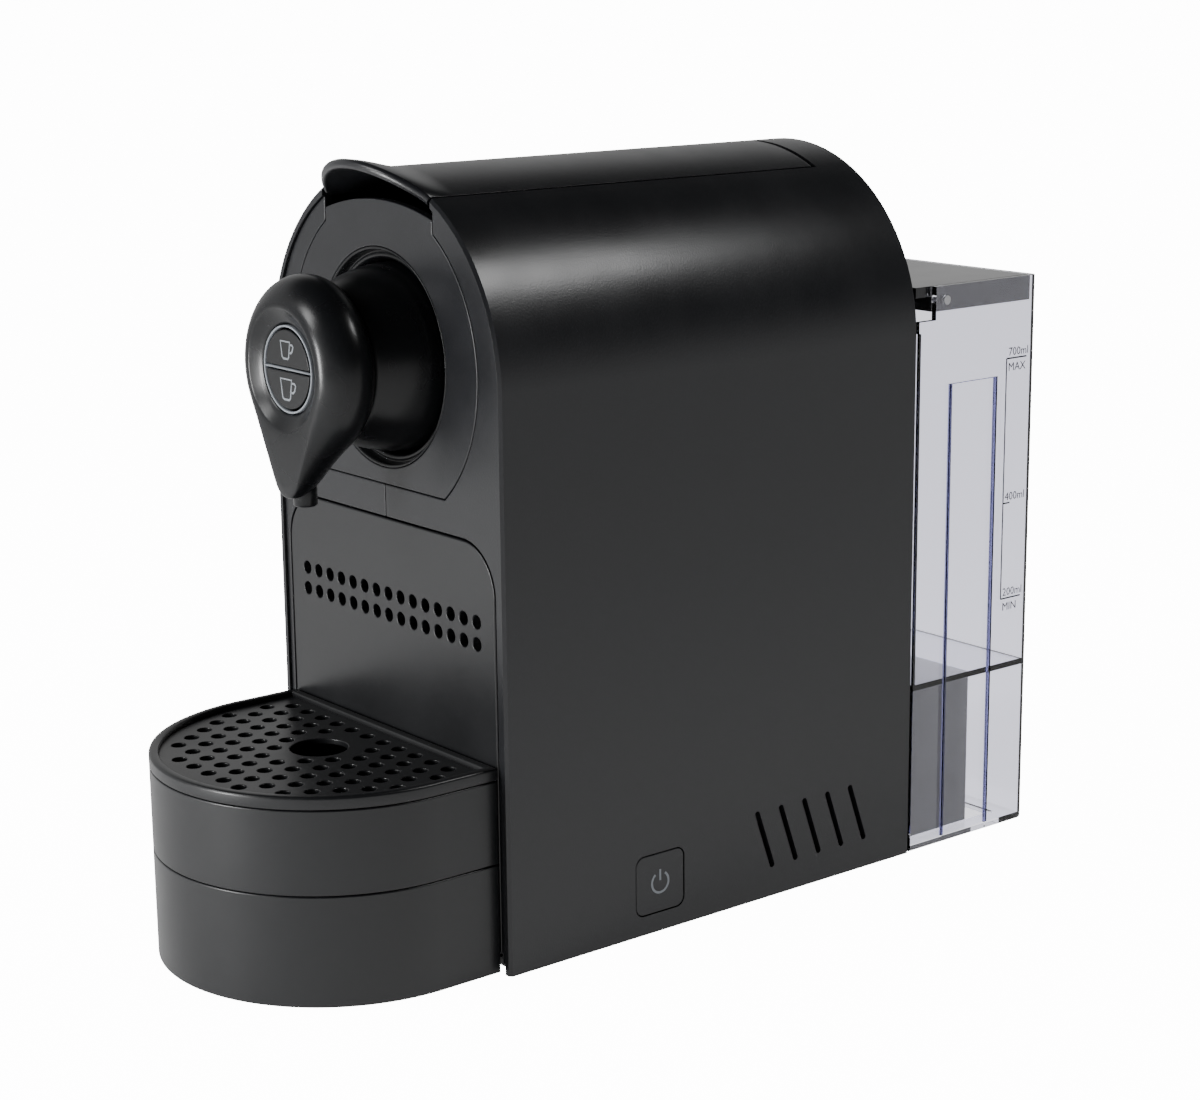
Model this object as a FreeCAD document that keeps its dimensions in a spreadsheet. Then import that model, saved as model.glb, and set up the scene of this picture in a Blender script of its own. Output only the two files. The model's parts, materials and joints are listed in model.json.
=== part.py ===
import FreeCAD, Part
import math
import os
import Sketcher

# Pod coffee machine, millimetres.  +X is the side with the power button, -Y is the front,
# +Z is up.  The origin is on the ground, under the middle of the machine.

V = FreeCAD.Vector
doc = FreeCAD.newDocument("pod_coffee_machine")

# ---------------------------------------------------------------- driving sizes
SIZES = {
    # housing
    "width": 120.0, "wall": 2.5, "foot_proud": 1.5, "shell_length": 166.6, "arch_axis": 175.5,
    "seam": 0.2, "gap": 0.5, "run_fit": 0.05, "front_recess": 0.8, "plate": 3.0, "edge_round": 0.9,
    "plate_corner": 1.8, "frame_gap": 0.1,
    # lever and its notch in the arch
    "lever_half": 27.6, "lever_side_gap": 0.6, "lever_thick": 3.0, "lever_end": 150.0,
    "lever_end_gap": 1.4, "lever_spare": 8.0, "lip_reach": 10.0, "lip_start": 10.0, "lip_rise": 3.3,
    "pivot_y": 112.0, "pivot_z": 219.0, "pivot_r": 2.5,
    "arm_out": 26.2, "arm_thick": 3.0, "arm_boss": 5.0, "crank_back": 12.0, "crank_up": 2.0,
    "link_gap": 0.8, "link_thick": 3.0, "link_wide": 6.0, "link_pin_r": 2.0, "link_eye_slack": 2.6,
    "link_rim": 2.0,
    # brewing axis, face plate and nose
    "brew_axis": 179.4, "face_axis": 178.5, "face_r": 48.5, "face_bottom": 141.2, "face_notch": 27.9,
    "face_top_side": 222.2, "face_top_mid": 226.5, "ring_r": 33.0, "ring_inner": 28.8,
    "ring_deep": 4.0, "ring_lip": 1.4, "ring_slope": 1.8, "ring_long": 3.5, "drum_wall": 2.5,
    "drum_neck": 5.5, "drum_r": 28.3, "drum_waist": 22.0, "drum_out": 16.5,
    "head_back_r": 23.0, "head_shoulder_r": 27.3, "head_mid_r": 25.0, "head_front_r": 18.8,
    "head_shoulder_y": 8.0, "head_mid_y": 14.0, "head_front_y": 17.6,
    "head_back_drop": 24.0, "head_shoulder_drop": 34.0, "head_tip_drop": 38.4, "head_tip_r": 6.0,
    "head_wall": 2.6, "head_cavity": 13.6, "dish_depth": 2.4, "bore_deep": 8.0, "cap_proud": 0.2,
    "stem_r": 2.0, "stem_long": 2.0, "stem_off": 5.6, "switch_side": 5.0, "switch_high": 1.9,
    "board_r": 12.5, "board_thick": 1.6, "button_spring_r": 4.0, "duct_drop": 15.5,
    "button_r": 11.6, "button_thick": 3.0, "button_gap": 0.35, "button_travel": 1.2,
    "bezel_ring": 1.0, "bezel_bar": 0.9, "nozzle_y": 27.4, "nozzle_r": 3.6, "nozzle_bore": 1.8,
    "nozzle_low": 138.5, "nozzle_long": 10.0,
    # drawer, drip tray and grid
    "tray_half": 55.0, "tray_straight": 21.0, "tray_top": 65.2, "rim_high": 3.9, "tray_split": 35.5,
    "tray_wall": 2.2, "rim_wide": 3.0, "grid_sink": 1.6, "grid_thick": 1.8, "grid_hole": 4.5,
    "grid_pitch_x": 8.5, "grid_pitch_y": 6.95, "grid_rear_row": 8.4, "cup_hole": 17.6,
    "cup_hole_y": 25.8, "panel_half": 54.5, "panel_top": 130.4, "panel_corner": 15.0,
    "panel_gap": 0.6, "vent_hole": 4.0, "vent_pitch": 6.5, "vent_row_low": 100.3, "vent_row_step": 6.7,
    "bin_half": 46.0, "bin_depth": 84.0, "bin_top": 122.0, "bin_wall": 2.0, "runner_low": 4.8,
    "chassis_y": 98.0, "shelf_z": 133.0, "drop_half": 22.0, "drop_front": 14.0, "drop_long": 32.0,
    # power button and side vents
    "power_y": 57.9, "power_z": 17.4, "power_side": 19.0, "power_corner": 3.0, "power_gap": 0.3,
    "power_travel": 1.0, "power_thick": 3.2, "power_spring_r": 3.2, "side_vent_y": 101.3,
    "side_vent_z": 21.2, "side_vent_pitch": 10.15, "side_vent_long": 21.2, "side_vent_wide": 2.0,
    "side_vent_lean": 19.3,
    # brewing unit
    "capsule_front": 14.0, "capsule_long": 32.0, "piston_r": 17.0, "piston_long": 36.0,
    "piston_pin": 12.0, "brew_travel": 20.0, "cheek_in": 26.8, "cheek_thick": 3.0, "brew_low": 153.0,
    "brew_high": 205.0, "needle_r": 1.0, "needle_long": 3.5, "extract_thick": 5.0,
    "extract_dish": 15.0, "extract_deep": 2.0, "needle_ring": 6.0,
    # water path
    "pump_y": 131.0, "pump_z": 31.0, "pump_r": 18.0, "pump_long": 84.0, "coil_long": 40.0,
    "coil_side": 42.0, "block_x": -42.0, "block_y": 108.0, "block_z": 66.0, "block_long": 62.0,
    "block_deep": 44.0, "block_high": 34.0, "meter_x": 34.0, "meter_r": 12.0, "meter_high": 14.0,
    "thermostat_r": 8.0, "thermostat_high": 6.0, "mount_x": 30.0, "mount_thick": 6.0,
    "mount_side": 44.0, "tube_r": 2.5, "tube_bore": 1.5,
    # control board: places are counted from its lower front corner
    "pcb_long": 54.0, "pcb_low": 60.0, "pcb_high": 62.0, "pcb_off": 3.0, "standoff_r": 2.0,
    "board_part_high": 7.0, "relay_y": 6.0, "relay_z": 44.0, "relay_long": 15.0, "relay_high": 12.0,
    "can_y": 38.0, "can_z": 50.0, "can_r": 5.0, "terminal_y": 33.0, "terminal_z": 4.0,
    "terminal_long": 18.0, "terminal_high": 8.0,
    # tank
    "tank_length": 56.3, "tank_gap": 0.5, "tank_wall": 2.0, "tank_top": 190.8, "tank_floor": 57.0,
    "tank_step": 180.0, "tank_step_long": 7.5, "tank_front_top": 176.0, "tank_corner": 3.0,
    "lid_plate": 3.4, "lid_skirt": 8.3, "lid_gap": 0.5, "lid_pin_y": 13.2, "lid_pin_z": 186.1,
    "lid_pin_r": 1.5, "support_half": 51.0, "support_reach": 35.9, "support_top": 54.6,
    "outlet_y": 19.4, "outlet_r": 7.0, "outlet_drop": 6.0, "valve_r": 1.8, "valve_head": 5.0,
    "outlet_bore": 3.2, "cage_r": 8.0, "cage_high": 13.0, "cage_wall": 1.0,
    "valve_spring_r": 3.4, "lid_front_gap": 0.6, "lid_wall": 2.0, "ear_wide": 7.0, "ear_half": 3.0,
    "support_top_thick": 8.0, "socket_deep": 4.9, "seal_thick": 0.6, "seal_inner": 3.0,
    "flange_wide": 6.0, "panel_boss_y": 15.6,
    "panel_boss_long": 21.4, "panel_boss_top": 158.5, "panel_boss_proud": 0.6,
    # small parts
    "foot_r": 7.0, "foot_x": 46.0, "foot_front": 15.0, "foot_rear": 18.0, "base_thick": 2.5,
    "screw_r": 1.5, "screw_head": 3.0, "screw_deep": 6.0, "screw_head_high": 1.0,
    "cord_r": 3.6, "gland_r": 6.0, "gland_long": 9.0,
    "gland_y": 151.0, "gland_z": 14.0, "spring_wire": 0.25, "spring_turns": 3.0,
}

TINY = 0.01
VENT_COLUMNS = 15
SIDE_VENTS = 5

sheet = doc.addObject("Spreadsheet::Sheet", "size")
for row, (alias, value) in enumerate(SIZES.items(), start=1):
    sheet.set(f"A{row}", alias)
    sheet.set(f"B{row}", f"{value:g}")
    sheet.setAlias(f"B{row}", alias)
doc.recompute()

# Places that several pieces share, as expressions on the sheet.
HALF = "(size.width / 2)"
INNER = "(size.width / 2 - size.wall)"
FRONT = "((size.tray_half + size.tray_straight - size.shell_length - size.tank_length) / 2)"
FACE = f"({FRONT} + size.front_recess)"
REAR = f"({FRONT} + size.shell_length)"
TANK_BACK = f"({REAR} + size.tank_length)"
TANK_FACE = f"({REAR} + size.tank_gap)"
SHELL_LOW = "size.foot_proud"
BASE_TOP = "(size.foot_proud + size.base_thick)"
TRAY_BACK = f"({FACE} - size.gap)"
TRAY_ARC = f"({FRONT} - size.tray_straight)"
HEAD_BACK = f"({FRONT} - size.drum_out)"
HEAD_FRONT = f"({HEAD_BACK} - size.head_front_y)"
PIVOT_Y = f"({FRONT} + size.pivot_y)"
CRANK_Y = f"({PIVOT_Y} - size.crank_back)"
CRANK_Z = "(size.pivot_z + size.crank_up)"
CAPSULE_BACK = f"({FRONT} + size.capsule_front + size.capsule_long)"
PISTON_PIN_Y = f"({CAPSULE_BACK} + size.piston_pin)"
LINK_OUT = "(size.arm_out - size.arm_thick - size.link_gap)"
CHEEK_OUT = "(size.cheek_in + size.cheek_thick)"
RUNNER_TOP = "(size.runner_low + size.tray_wall)"
OUTLET_Y = f"({REAR} + size.outlet_y)"
LID_PIN_Y = f"({REAR} + size.lid_pin_y)"
GRID_TOP = "(size.tray_top - size.grid_sink)"
RIM_LOW = "(size.tray_top - size.rim_high)"
POWER_Y = f"({FRONT} + size.power_y)"
BEZEL_IN = "(size.button_r + size.button_gap)"
BEZEL_OUT = f"({BEZEL_IN} + size.bezel_ring)"
NOZZLE_Y = f"({FRONT} - size.nozzle_y)"
CUP_Y = f"({FRONT} - size.cup_hole_y)"
CAP_FRONT = f"({HEAD_FRONT} + size.dish_depth - size.cap_proud)"
CAP_BACK = f"({CAP_FRONT} + size.button_thick)"
SWITCH_FACE = f"({CAP_BACK} + size.stem_long + size.button_travel + size.gap)"
BOARD_FACE = f"({SWITCH_FACE} + size.switch_high)"
PLATE_FRONT = f"({FRONT} + size.capsule_front - size.extract_thick)"
SHELF_TOP = "(size.shelf_z + size.wall)"
CHASSIS_HALF = f"({INNER} - size.frame_gap)"
SUCTION_Z = "(size.support_top - size.support_top_thick - 4 * size.tube_r)"
PUMP_Y = f"({FRONT} + size.pump_y)"
BLOCK_TOP = "(size.block_z + size.block_high)"
FLOOR_TOP = "(size.tank_floor + size.tank_wall)"
OUTLET_LOW = "(size.tank_floor - size.outlet_drop)"
SOCKET_FLOOR = "(size.support_top - size.socket_deep)"

nodes = []


def number(expression):
    """The value of an expression on the sheet, in millimetres or degrees."""
    value = sheet.evalExpression(str(expression))
    return float(getattr(value, "Value", value))


def keep(obj, label):
    """Make a finished object one sub-part under this label."""
    obj.Label = label
    nodes.append(obj)
    return obj


# ---------------------------------------------------------------- primitives and booleans
def box(name, x, y, z):
    """A box between two expressions on each axis."""
    made = doc.addObject("Part::Box", name)
    for side, axis, (low, high) in zip(("Length", "Width", "Height"), "xyz", (x, y, z)):
        made.setExpression(side, f"({high}) - ({low})")
        made.setExpression(f"Placement.Base.{axis}", f"{low}")
    return made


def rod(name, axis, low, high, centre, radius):
    """A round bar along an axis between two expressions, at a centre on the other two axes."""
    made = doc.addObject("Part::Cylinder", name)
    turns = {"x": FreeCAD.Rotation(V(0, 1, 0), 90), "y": FreeCAD.Rotation(V(1, 0, 0), -90),
             "z": FreeCAD.Rotation()}
    made.Placement = FreeCAD.Placement(V(0, 0, 0), turns[axis])
    made.setExpression("Radius", f"{radius}")
    made.setExpression("Height", f"({high}) - ({low})")
    others = [a for a in "xyz" if a != axis]
    made.setExpression(f"Placement.Base.{axis}", f"{low}")
    for other, value in zip(others, centre):
        made.setExpression(f"Placement.Base.{other}", f"{value}")
    return made


def fuse(name, *shapes):
    made = doc.addObject("Part::MultiFuse", name)
    made.Shapes = list(shapes)
    return made


def group(name, *shapes):
    made = doc.addObject("Part::Compound", name)
    made.Links = list(shapes)
    return made


def cut(name, base, *tools):
    made = doc.addObject("Part::Cut", name)
    made.Base = base
    made.Tool = tools[0] if len(tools) == 1 else fuse(f"{name}_tools", *tools)
    return made


def common(name, *shapes):
    made = doc.addObject("Part::MultiCommon", name)
    made.Shapes = list(shapes)
    return made


def pair(name, low, high, y, z):
    """Two boxes, mirrored about X = 0, between two distances from the middle."""
    return [box(f"{name}_right", (low, high), y, z),
            box(f"{name}_left", (f"-({high})", f"-({low})"), y, z)]


def rod_pair(name, low, high, centre, radius):
    """Two bars along X, mirrored about X = 0."""
    return [rod(f"{name}_right", "x", low, high, centre, radius),
            rod(f"{name}_left", "x", f"-({high})", f"-({low})", centre, radius)]


# ---------------------------------------------------------------- bodies made from sketches
PLANES = {"XY": ("XY_Plane", 1), "XZ": ("XZ_Plane", -1), "YZ": ("YZ_Plane", 1)}


def body(name):
    return doc.addObject("PartDesign::Body", name)


def sketch(owner, name, plane, at="0", lift="0"):
    """A sketch on one of the body's origin planes, at a distance along the third axis."""
    role, sign = PLANES[plane]
    made = owner.newObject("Sketcher::SketchObject", name)
    flat = next(f for f in owner.Origin.OriginFeatures if f.Role == role)
    made.AttachmentSupport = [(flat, "")]
    made.MapMode = "FlatFace"
    made.setExpression("AttachmentOffset.Base.z", f"{sign} * ({at})")
    if lift != "0":
        made.setExpression("AttachmentOffset.Base.y", f"{lift}")
    return made


def pin(flat, geo, place, x, y):
    """Fix a point of the sketch at two expressions; None leaves that coordinate free."""
    for kind, value in (("DistanceX", x), ("DistanceY", y)):
        if value is None:
            continue
        index = flat.addConstraint(Sketcher.Constraint(kind, -1, 1, geo, place, number(value)))
        flat.setExpression(f"Constraints[{index}]", f"{value}")


def circle(flat, x, y, radius):
    centre = V(number(x), number(y), 0)
    geo = flat.addGeometry(Part.Circle(centre, V(0, 0, 1), number(radius)), False)
    pin(flat, geo, 3, x, y)
    index = flat.addConstraint(Sketcher.Constraint("Radius", geo, number(radius)))
    flat.setExpression(f"Constraints[{index}]", f"{radius}")


def outline(flat, path):
    """A closed outline.  A step is ("to", x, y) for a corner, or ("arc", cx, cy, turn) for an arc
    about a centre to the next corner, anticlockwise for turn 1.  Of the corner that ends an arc
    only one coordinate is fixed, the one named as the step's fourth item."""
    corners = [step for step in path if step[0] == "to"]
    places = [V(number(c[1]), number(c[2]), 0) for c in corners]
    arcs = {}
    seen = -1
    for step in path:
        if step[0] == "to":
            seen += 1
        else:
            arcs[seen] = step
    geos = []
    for i, start in enumerate(places):
        end = places[(i + 1) % len(places)]
        if i not in arcs:
            geos.append((flat.addGeometry(Part.LineSegment(start, end), False), 1, 2))
            continue
        centre = V(number(arcs[i][1]), number(arcs[i][2]), 0)
        turn = arcs[i][3]
        first, last = (start, end) if turn > 0 else (end, start)
        a0 = math.atan2(first.y - centre.y, first.x - centre.x)
        a1 = math.atan2(last.y - centre.y, last.x - centre.x)
        ring = Part.Circle(centre, V(0, 0, 1), (start - centre).Length)
        geo = flat.addGeometry(Part.ArcOfCircle(ring, a0, a1 if a1 > a0 else a1 + 2 * math.pi), False)
        geos.append((geo, 1, 2) if turn > 0 else (geo, 2, 1))
        pin(flat, geo, 3, arcs[i][1], arcs[i][2])
    for i, (geo, begin, finish) in enumerate(geos):
        after, after_begin, _ = geos[(i + 1) % len(geos)]
        flat.addConstraint(Sketcher.Constraint("Coincident", geo, finish, after, after_begin))
        corner = corners[i]
        fixed = corner[3] if len(corner) > 3 else "xy"
        pin(flat, geo, begin, corner[1] if "x" in fixed else None, corner[2] if "y" in fixed else None)


def pad(owner, flat, length, away=False):
    """Give the sketch a thickness; on XZ planes away=True goes to the rear."""
    made = owner.newObject("PartDesign::Pad", f"{flat.Name}_pad")
    made.Profile = flat
    made.setExpression("Length", f"{length}")
    made.Reversed = away
    return made


def pocket(owner, flat, length=None, away=False, both=False):
    """Cut the sketch out of the body, through everything when no length is given."""
    made = owner.newObject("PartDesign::Pocket", f"{flat.Name}_pocket")
    made.Profile = flat
    if length is None:
        made.Type = "ThroughAll"
    else:
        made.setExpression("Length", f"{length}")
    made.Reversed = away
    made.Midplane = both
    return made


def turned(owner, flat, kind="Revolution", angle="360", both=False):
    """Turn the sketch about its own horizontal axis."""
    made = owner.newObject(f"PartDesign::{kind}", f"{flat.Name}_turned")
    made.Profile = flat
    made.ReferenceAxis = (flat, ["H_Axis"])
    made.setExpression("Angle", f"{angle}")
    made.Midplane = both
    return made


def pattern(owner, features, axis, count, length):
    """Repeat features along the sketch axis of the first one."""
    made = owner.newObject("PartDesign::LinearPattern", f"{features[0].Name}_row")
    made.Originals = features
    made.Direction = axis
    made.setExpression("Length", f"{length}")
    made.Occurrences = count
    owner.Tip = made
    return made


def soften(owner, base, test, size, kind="Fillet"):
    """Round or chamfer the edges of the base feature whose two ends and middle all pass the test."""
    doc.recompute()
    names = []
    for i, edge in enumerate(base.Shape.Edges, start=1):
        middle = edge.valueAt((edge.FirstParameter + edge.LastParameter) / 2)
        points = [v.Point for v in edge.Vertexes] + [middle]
        if all(test(p) for p in points):
            names.append(f"Edge{i}")
    made = owner.newObject(f"PartDesign::{kind}", f"{owner.Name}_edge_{len(owner.Group)}")
    made.Base = (base, names)
    made.setExpression("Radius" if kind == "Fillet" else "Size", f"{size}")
    owner.Tip = made
    return made


def near(value, expression):
    return abs(value - number(expression)) < TINY


def arch(half, low):
    """The housing's section: straight sides under a half circle."""
    return [("to", half, low), ("to", half, "size.arch_axis"), ("arc", "0", "size.arch_axis", 1),
            ("to", f"-({half})", "size.arch_axis", "y"), ("to", f"-({half})", low)]


# ---------------------------------------------------------------- housing shell
def outer_shell():
    shell = body("outer_shell")
    outside = sketch(shell, "shell_outside", "XZ", FRONT)
    outline(outside, arch(HALF, SHELL_LOW))
    pad(shell, outside, "size.shell_length", away=True)
    inside = sketch(shell, "shell_inside", "XZ", FRONT)
    outline(inside, arch(INNER, SHELL_LOW))
    pocket(shell, inside, "size.shell_length", away=False)
    notch = sketch(shell, "lever_notch", "XY", f"size.arch_axis + {HALF}")
    half = "(size.lever_half + size.lever_side_gap)"
    back = f"({FRONT} + size.lever_end + size.lever_end_gap)"
    outline(notch, [("to", f"-{half}", FRONT), ("to", half, FRONT), ("to", half, back),
                    ("to", f"-{half}", back)])
    pocket(shell, notch, HALF)
    window = sketch(shell, "power_window", "YZ", HALF)
    reach = "(size.power_side / 2 + size.power_gap)"
    rounded(window, POWER_Y, "size.power_z", reach, "(size.power_corner + size.power_gap)")
    pocket(shell, window, "2 * size.wall")
    vent = sketch(shell, "side_vent", "YZ", HALF)
    slot(vent, f"({FRONT} + size.side_vent_y)", "size.side_vent_z")
    slots = pocket(shell, vent)
    pattern(shell, [slots], (vent, ["H_Axis"]), SIDE_VENTS, f"{SIDE_VENTS - 1} * size.side_vent_pitch")
    gland = sketch(shell, "gland_window", "YZ", f"-{HALF}")
    circle(gland, f"{FRONT} + size.gland_y", "size.gland_z", "size.gland_r")
    last = pocket(shell, gland, "2 * size.wall", away=True)
    shell.Tip = last
    for end in (FRONT, REAR):
        rim = lambda p: near(p.y, end) and shell_rim(p)
        last = soften(shell, last, rim, "size.edge_round", "Chamfer")
    return keep(shell, "outer_shell")


def shell_rim(point):
    """True on the outside surface of the arch."""
    radius = number(HALF)
    if point.z <= number("size.arch_axis"):
        return abs(abs(point.x) - radius) < TINY
    return abs(math.hypot(point.x, point.z - number("size.arch_axis")) - radius) < TINY


def rounded(flat, x, y, half, corner):
    """A square outline with round corners about a centre."""
    inner = f"({half} - {corner})"
    path = []
    for sx, sy, first in ((1, -1, False), (1, 1, True), (-1, 1, False), (-1, -1, True)):
        a = ("to", f"{x} + {sx} * {inner}", f"{y} + {sy} * {half}")
        b = ("to", f"{x} + {sx} * {half}", f"{y} + {sy} * {inner}")
        start, end = (b, a) if first else (a, b)
        path += [start, ("arc", f"{x} + {sx} * {inner}", f"{y} + {sy} * {inner}", 1)]
        path.append(end + ("x" if first else "y",))
    outline(flat, path)


def slot(flat, y, z):
    """A leaning slot with round ends: its top is further forward than its foot."""
    lean_y = "(size.side_vent_long / 2 - size.side_vent_wide / 2) * sin(size.side_vent_lean)"
    lean_z = "(size.side_vent_long / 2 - size.side_vent_wide / 2) * cos(size.side_vent_lean)"
    side_y = "size.side_vent_wide / 2 * cos(size.side_vent_lean)"
    side_z = "size.side_vent_wide / 2 * sin(size.side_vent_lean)"
    top = (f"({y} - {lean_y})", f"({z} + {lean_z})")
    foot = (f"({y} + {lean_y})", f"({z} - {lean_z})")
    outline(flat, [
        ("to", f"{foot[0]} + {side_y}", f"{foot[1]} + {side_z}", "y"),
        ("to", f"{top[0]} + {side_y}", f"{top[1]} + {side_z}"), ("arc", top[0], top[1], 1),
        ("to", f"{top[0]} - {side_y}", f"{top[1]} - {side_z}", "y"),
        ("to", f"{foot[0]} - {side_y}", f"{foot[1]} - {side_z}"), ("arc", foot[0], foot[1], 1),
    ])


# ---------------------------------------------------------------- front frame and face plate
def face_side(extra):
    """Half width of the face plate at its straight foot, with the outline grown by extra."""
    return (f"sqrt((size.face_r + {extra})^2 - (size.face_axis - size.face_bottom + {extra})^2)")


def face_notch_z(extra):
    return f"size.face_axis + sqrt((size.face_r + {extra})^2 - (size.face_notch + {extra})^2)"


def front_frame(label, side):
    """One half of the front frame: from the seam in the middle round to the arch and its leg."""
    frame = body(label)
    flat = sketch(frame, f"{label}_outline", "XZ", FACE)
    edge = f"({INNER} - size.frame_gap)"
    notch = "(size.face_notch + size.seam)"
    leg = "(size.panel_half + size.panel_gap)"
    foot = "(size.face_bottom - size.seam)"
    top = "(size.panel_top + size.panel_gap)"
    corner_x = "(size.panel_half - size.panel_corner)"
    corner_z = "(size.panel_top - size.panel_corner)"
    path = [
        ("to", "size.seam / 2", foot), ("to", face_side("size.seam"), foot),
        ("arc", "0", "size.face_axis", 1), ("to", notch, face_notch_z("size.seam"), "x"),
        ("to", notch, f"size.arch_axis + sqrt({edge}^2 - {notch}^2)"),
        ("arc", "0", "size.arch_axis", -1), ("to", edge, "size.arch_axis", "y"),
        ("to", edge, BASE_TOP), ("to", leg, BASE_TOP), ("to", leg, corner_z),
        ("arc", corner_x, corner_z, 1), ("to", corner_x, top, "x"), ("to", "size.seam / 2", top),
    ]
    if side < 0:
        path = [(step[0], f"-({step[1]})") + step[2:] for step in path]
        path = [step[:3] + (-step[3],) if step[0] == "arc" else step for step in path]
    outline(flat, path)
    pad(frame, flat, "size.plate", away=True)
    return keep(frame, label)


def face_plate():
    plate = body("face_plate")
    flat = sketch(plate, "face_outline", "XZ", FACE)
    rise = "(size.face_top_mid - size.face_top_side)"
    top_r = f"((size.face_notch^2 + {rise}^2) / (2 * {rise}))"
    side = face_side("0")
    notch_z = face_notch_z("0")
    outline(flat, [
        ("to", side, "size.face_bottom"), ("arc", "0", "size.face_axis", 1),
        ("to", "size.face_notch", notch_z, "x"), ("to", "size.face_notch", "size.face_top_side"),
        ("arc", "0", f"size.face_top_mid - {top_r}", 1),
        ("to", "-size.face_notch", "size.face_top_side", "x"),
        ("to", "-size.face_notch", notch_z), ("arc", "0", "size.face_axis", 1),
        ("to", f"-{side}", "size.face_bottom", "y"),
    ])
    circle(flat, "0", "size.brew_axis", "size.ring_r + size.seam")
    last = pad(plate, flat, "size.plate", away=True)
    corner = lambda p: near(p.z, "size.face_bottom") and near(abs(p.x), side)
    soften(plate, last, corner, "size.plate_corner")
    return keep(plate, "face_plate")


# ---------------------------------------------------------------- nose
def nose_ring():
    ring = body("nose_ring")
    flat = sketch(ring, "ring_section", "YZ", "0", "size.brew_axis")
    start = f"({FACE} + size.frame_gap)"
    floor = f"({FACE} + size.ring_deep)"
    back = f"({floor} + size.ring_long)"
    outline(flat, [
        ("to", start, "size.ring_r"), ("to", start, "size.ring_r - size.ring_lip"),
        ("to", floor, "size.ring_r - size.ring_lip"),
        ("to", f"{floor} + size.ring_slope", "size.ring_inner"), ("to", back, "size.ring_inner"),
        ("to", back, "size.ring_r"),
    ])
    turned(ring, flat)
    return keep(ring, "nose_ring")


def nose_drum():
    drum = body("nose_drum")
    flat = sketch(drum, "drum_section", "YZ", "0", "size.brew_axis")
    back = f"({FACE} + size.ring_deep + size.ring_long)"
    neck = f"({HEAD_BACK} + size.drum_neck)"
    outline(flat, [
        ("to", back, "size.drum_r"), ("to", neck, "size.drum_waist"), ("to", HEAD_BACK, "size.drum_waist"),
        ("to", HEAD_BACK, "size.drum_waist - size.drum_wall"),
        ("to", neck, "size.drum_waist - size.drum_wall"),
        ("to", back, "size.drum_r - size.drum_wall"),
    ])
    turned(drum, flat)
    return keep(drum, "nose_drum")


def teardrop(owner, name, y, big, small, drop):
    """A drop: a big circle on the brewing axis, a small one below it, and their two tangents."""
    flat = sketch(owner, name, "XZ", y)
    tip = f"(size.brew_axis - ({drop}) + ({small}))"
    s = f"((({big}) - ({small})) / (({drop}) - ({small})))"
    k = f"sqrt(1 - {s}^2)"
    outline(flat, [
        ("to", f"({big}) * {k}", f"size.brew_axis - ({big}) * {s}"), ("arc", "0", "size.brew_axis", 1),
        ("to", f"-({big}) * {k}", f"size.brew_axis - ({big}) * {s}", "y"),
        ("to", f"-({small}) * {k}", f"{tip} - ({small}) * {s}"), ("arc", "0", tip, 1),
        ("to", f"({small}) * {k}", f"{tip} - ({small}) * {s}", "y"),
    ])
    return flat


def head_sections(owner, name, thin, last_y):
    """Drop sections from the head's back to a depth, inside its surface by thin."""
    stations = [("0", "size.head_back_r", "size.head_back_drop"),
                ("size.head_shoulder_y", "size.head_shoulder_r", "size.head_shoulder_drop"),
                ("size.head_mid_y", "size.head_mid_r", "size.head_tip_drop")]
    if last_y is None:
        stations.append(("size.head_front_y", "size.head_front_r", "size.head_tip_drop"))
    made = []
    for i, (y, big, drop) in enumerate(stations):
        place = last_y if last_y is not None and i == 2 else y
        made.append(teardrop(owner, f"{name}_{i}", f"({HEAD_BACK} - {place})", f"{big} - {thin}",
                             f"size.head_tip_r - {thin}", f"{drop} - {thin}"))
    return made


def nose_head():
    head = body("nose_head")
    skin = head_sections(head, "head_skin", "0", None)
    loft = head.newObject("PartDesign::AdditiveLoft", "head_loft")
    loft.Profile = skin[0]
    loft.Sections = skin[1:]
    hollow = head_sections(head, "head_hollow", "size.head_wall", "size.head_cavity")
    inside = head.newObject("PartDesign::SubtractiveLoft", "head_cavity")
    inside.Profile = hollow[0]
    inside.Sections = hollow[1:]
    dish = sketch(head, "dish_section", "YZ", "0", "size.brew_axis")
    ahead = f"({HEAD_FRONT} - size.gap)"
    rim = "(size.head_front_r - size.edge_round)"
    floor = f"({HEAD_FRONT} + size.dish_depth)"
    outline(dish, [
        ("to", ahead, "0"), ("to", ahead, rim), ("to", HEAD_FRONT, rim), ("to", floor, BEZEL_OUT),
        ("to", f"{HEAD_FRONT} + size.bore_deep", BEZEL_OUT), ("to", f"{HEAD_FRONT} + size.bore_deep", "0"),
    ])
    turned(head, dish, "Groove")
    spout = sketch(head, "nozzle_hole", "XY", "size.nozzle_low")
    circle(spout, "0", NOZZLE_Y, "size.nozzle_r")
    head.Tip = pocket(head, spout, "size.nozzle_long", away=True)
    return keep(head, "nose_head")


def button_bezel():
    y = (CAP_FRONT, CAP_BACK)
    ring = cut("bezel_ring", rod("bezel_outside", "y", *y, ("0", "size.brew_axis"), BEZEL_OUT),
               rod("bezel_inside", "y", *y, ("0", "size.brew_axis"), BEZEL_IN))
    bar = box("bezel_bar", (f"-{BEZEL_IN}", BEZEL_IN), y,
              ("size.brew_axis - size.bezel_bar / 2", "size.brew_axis + size.bezel_bar / 2"))
    return keep(fuse("button_bezel", ring, bar), "button_bezel")


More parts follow.
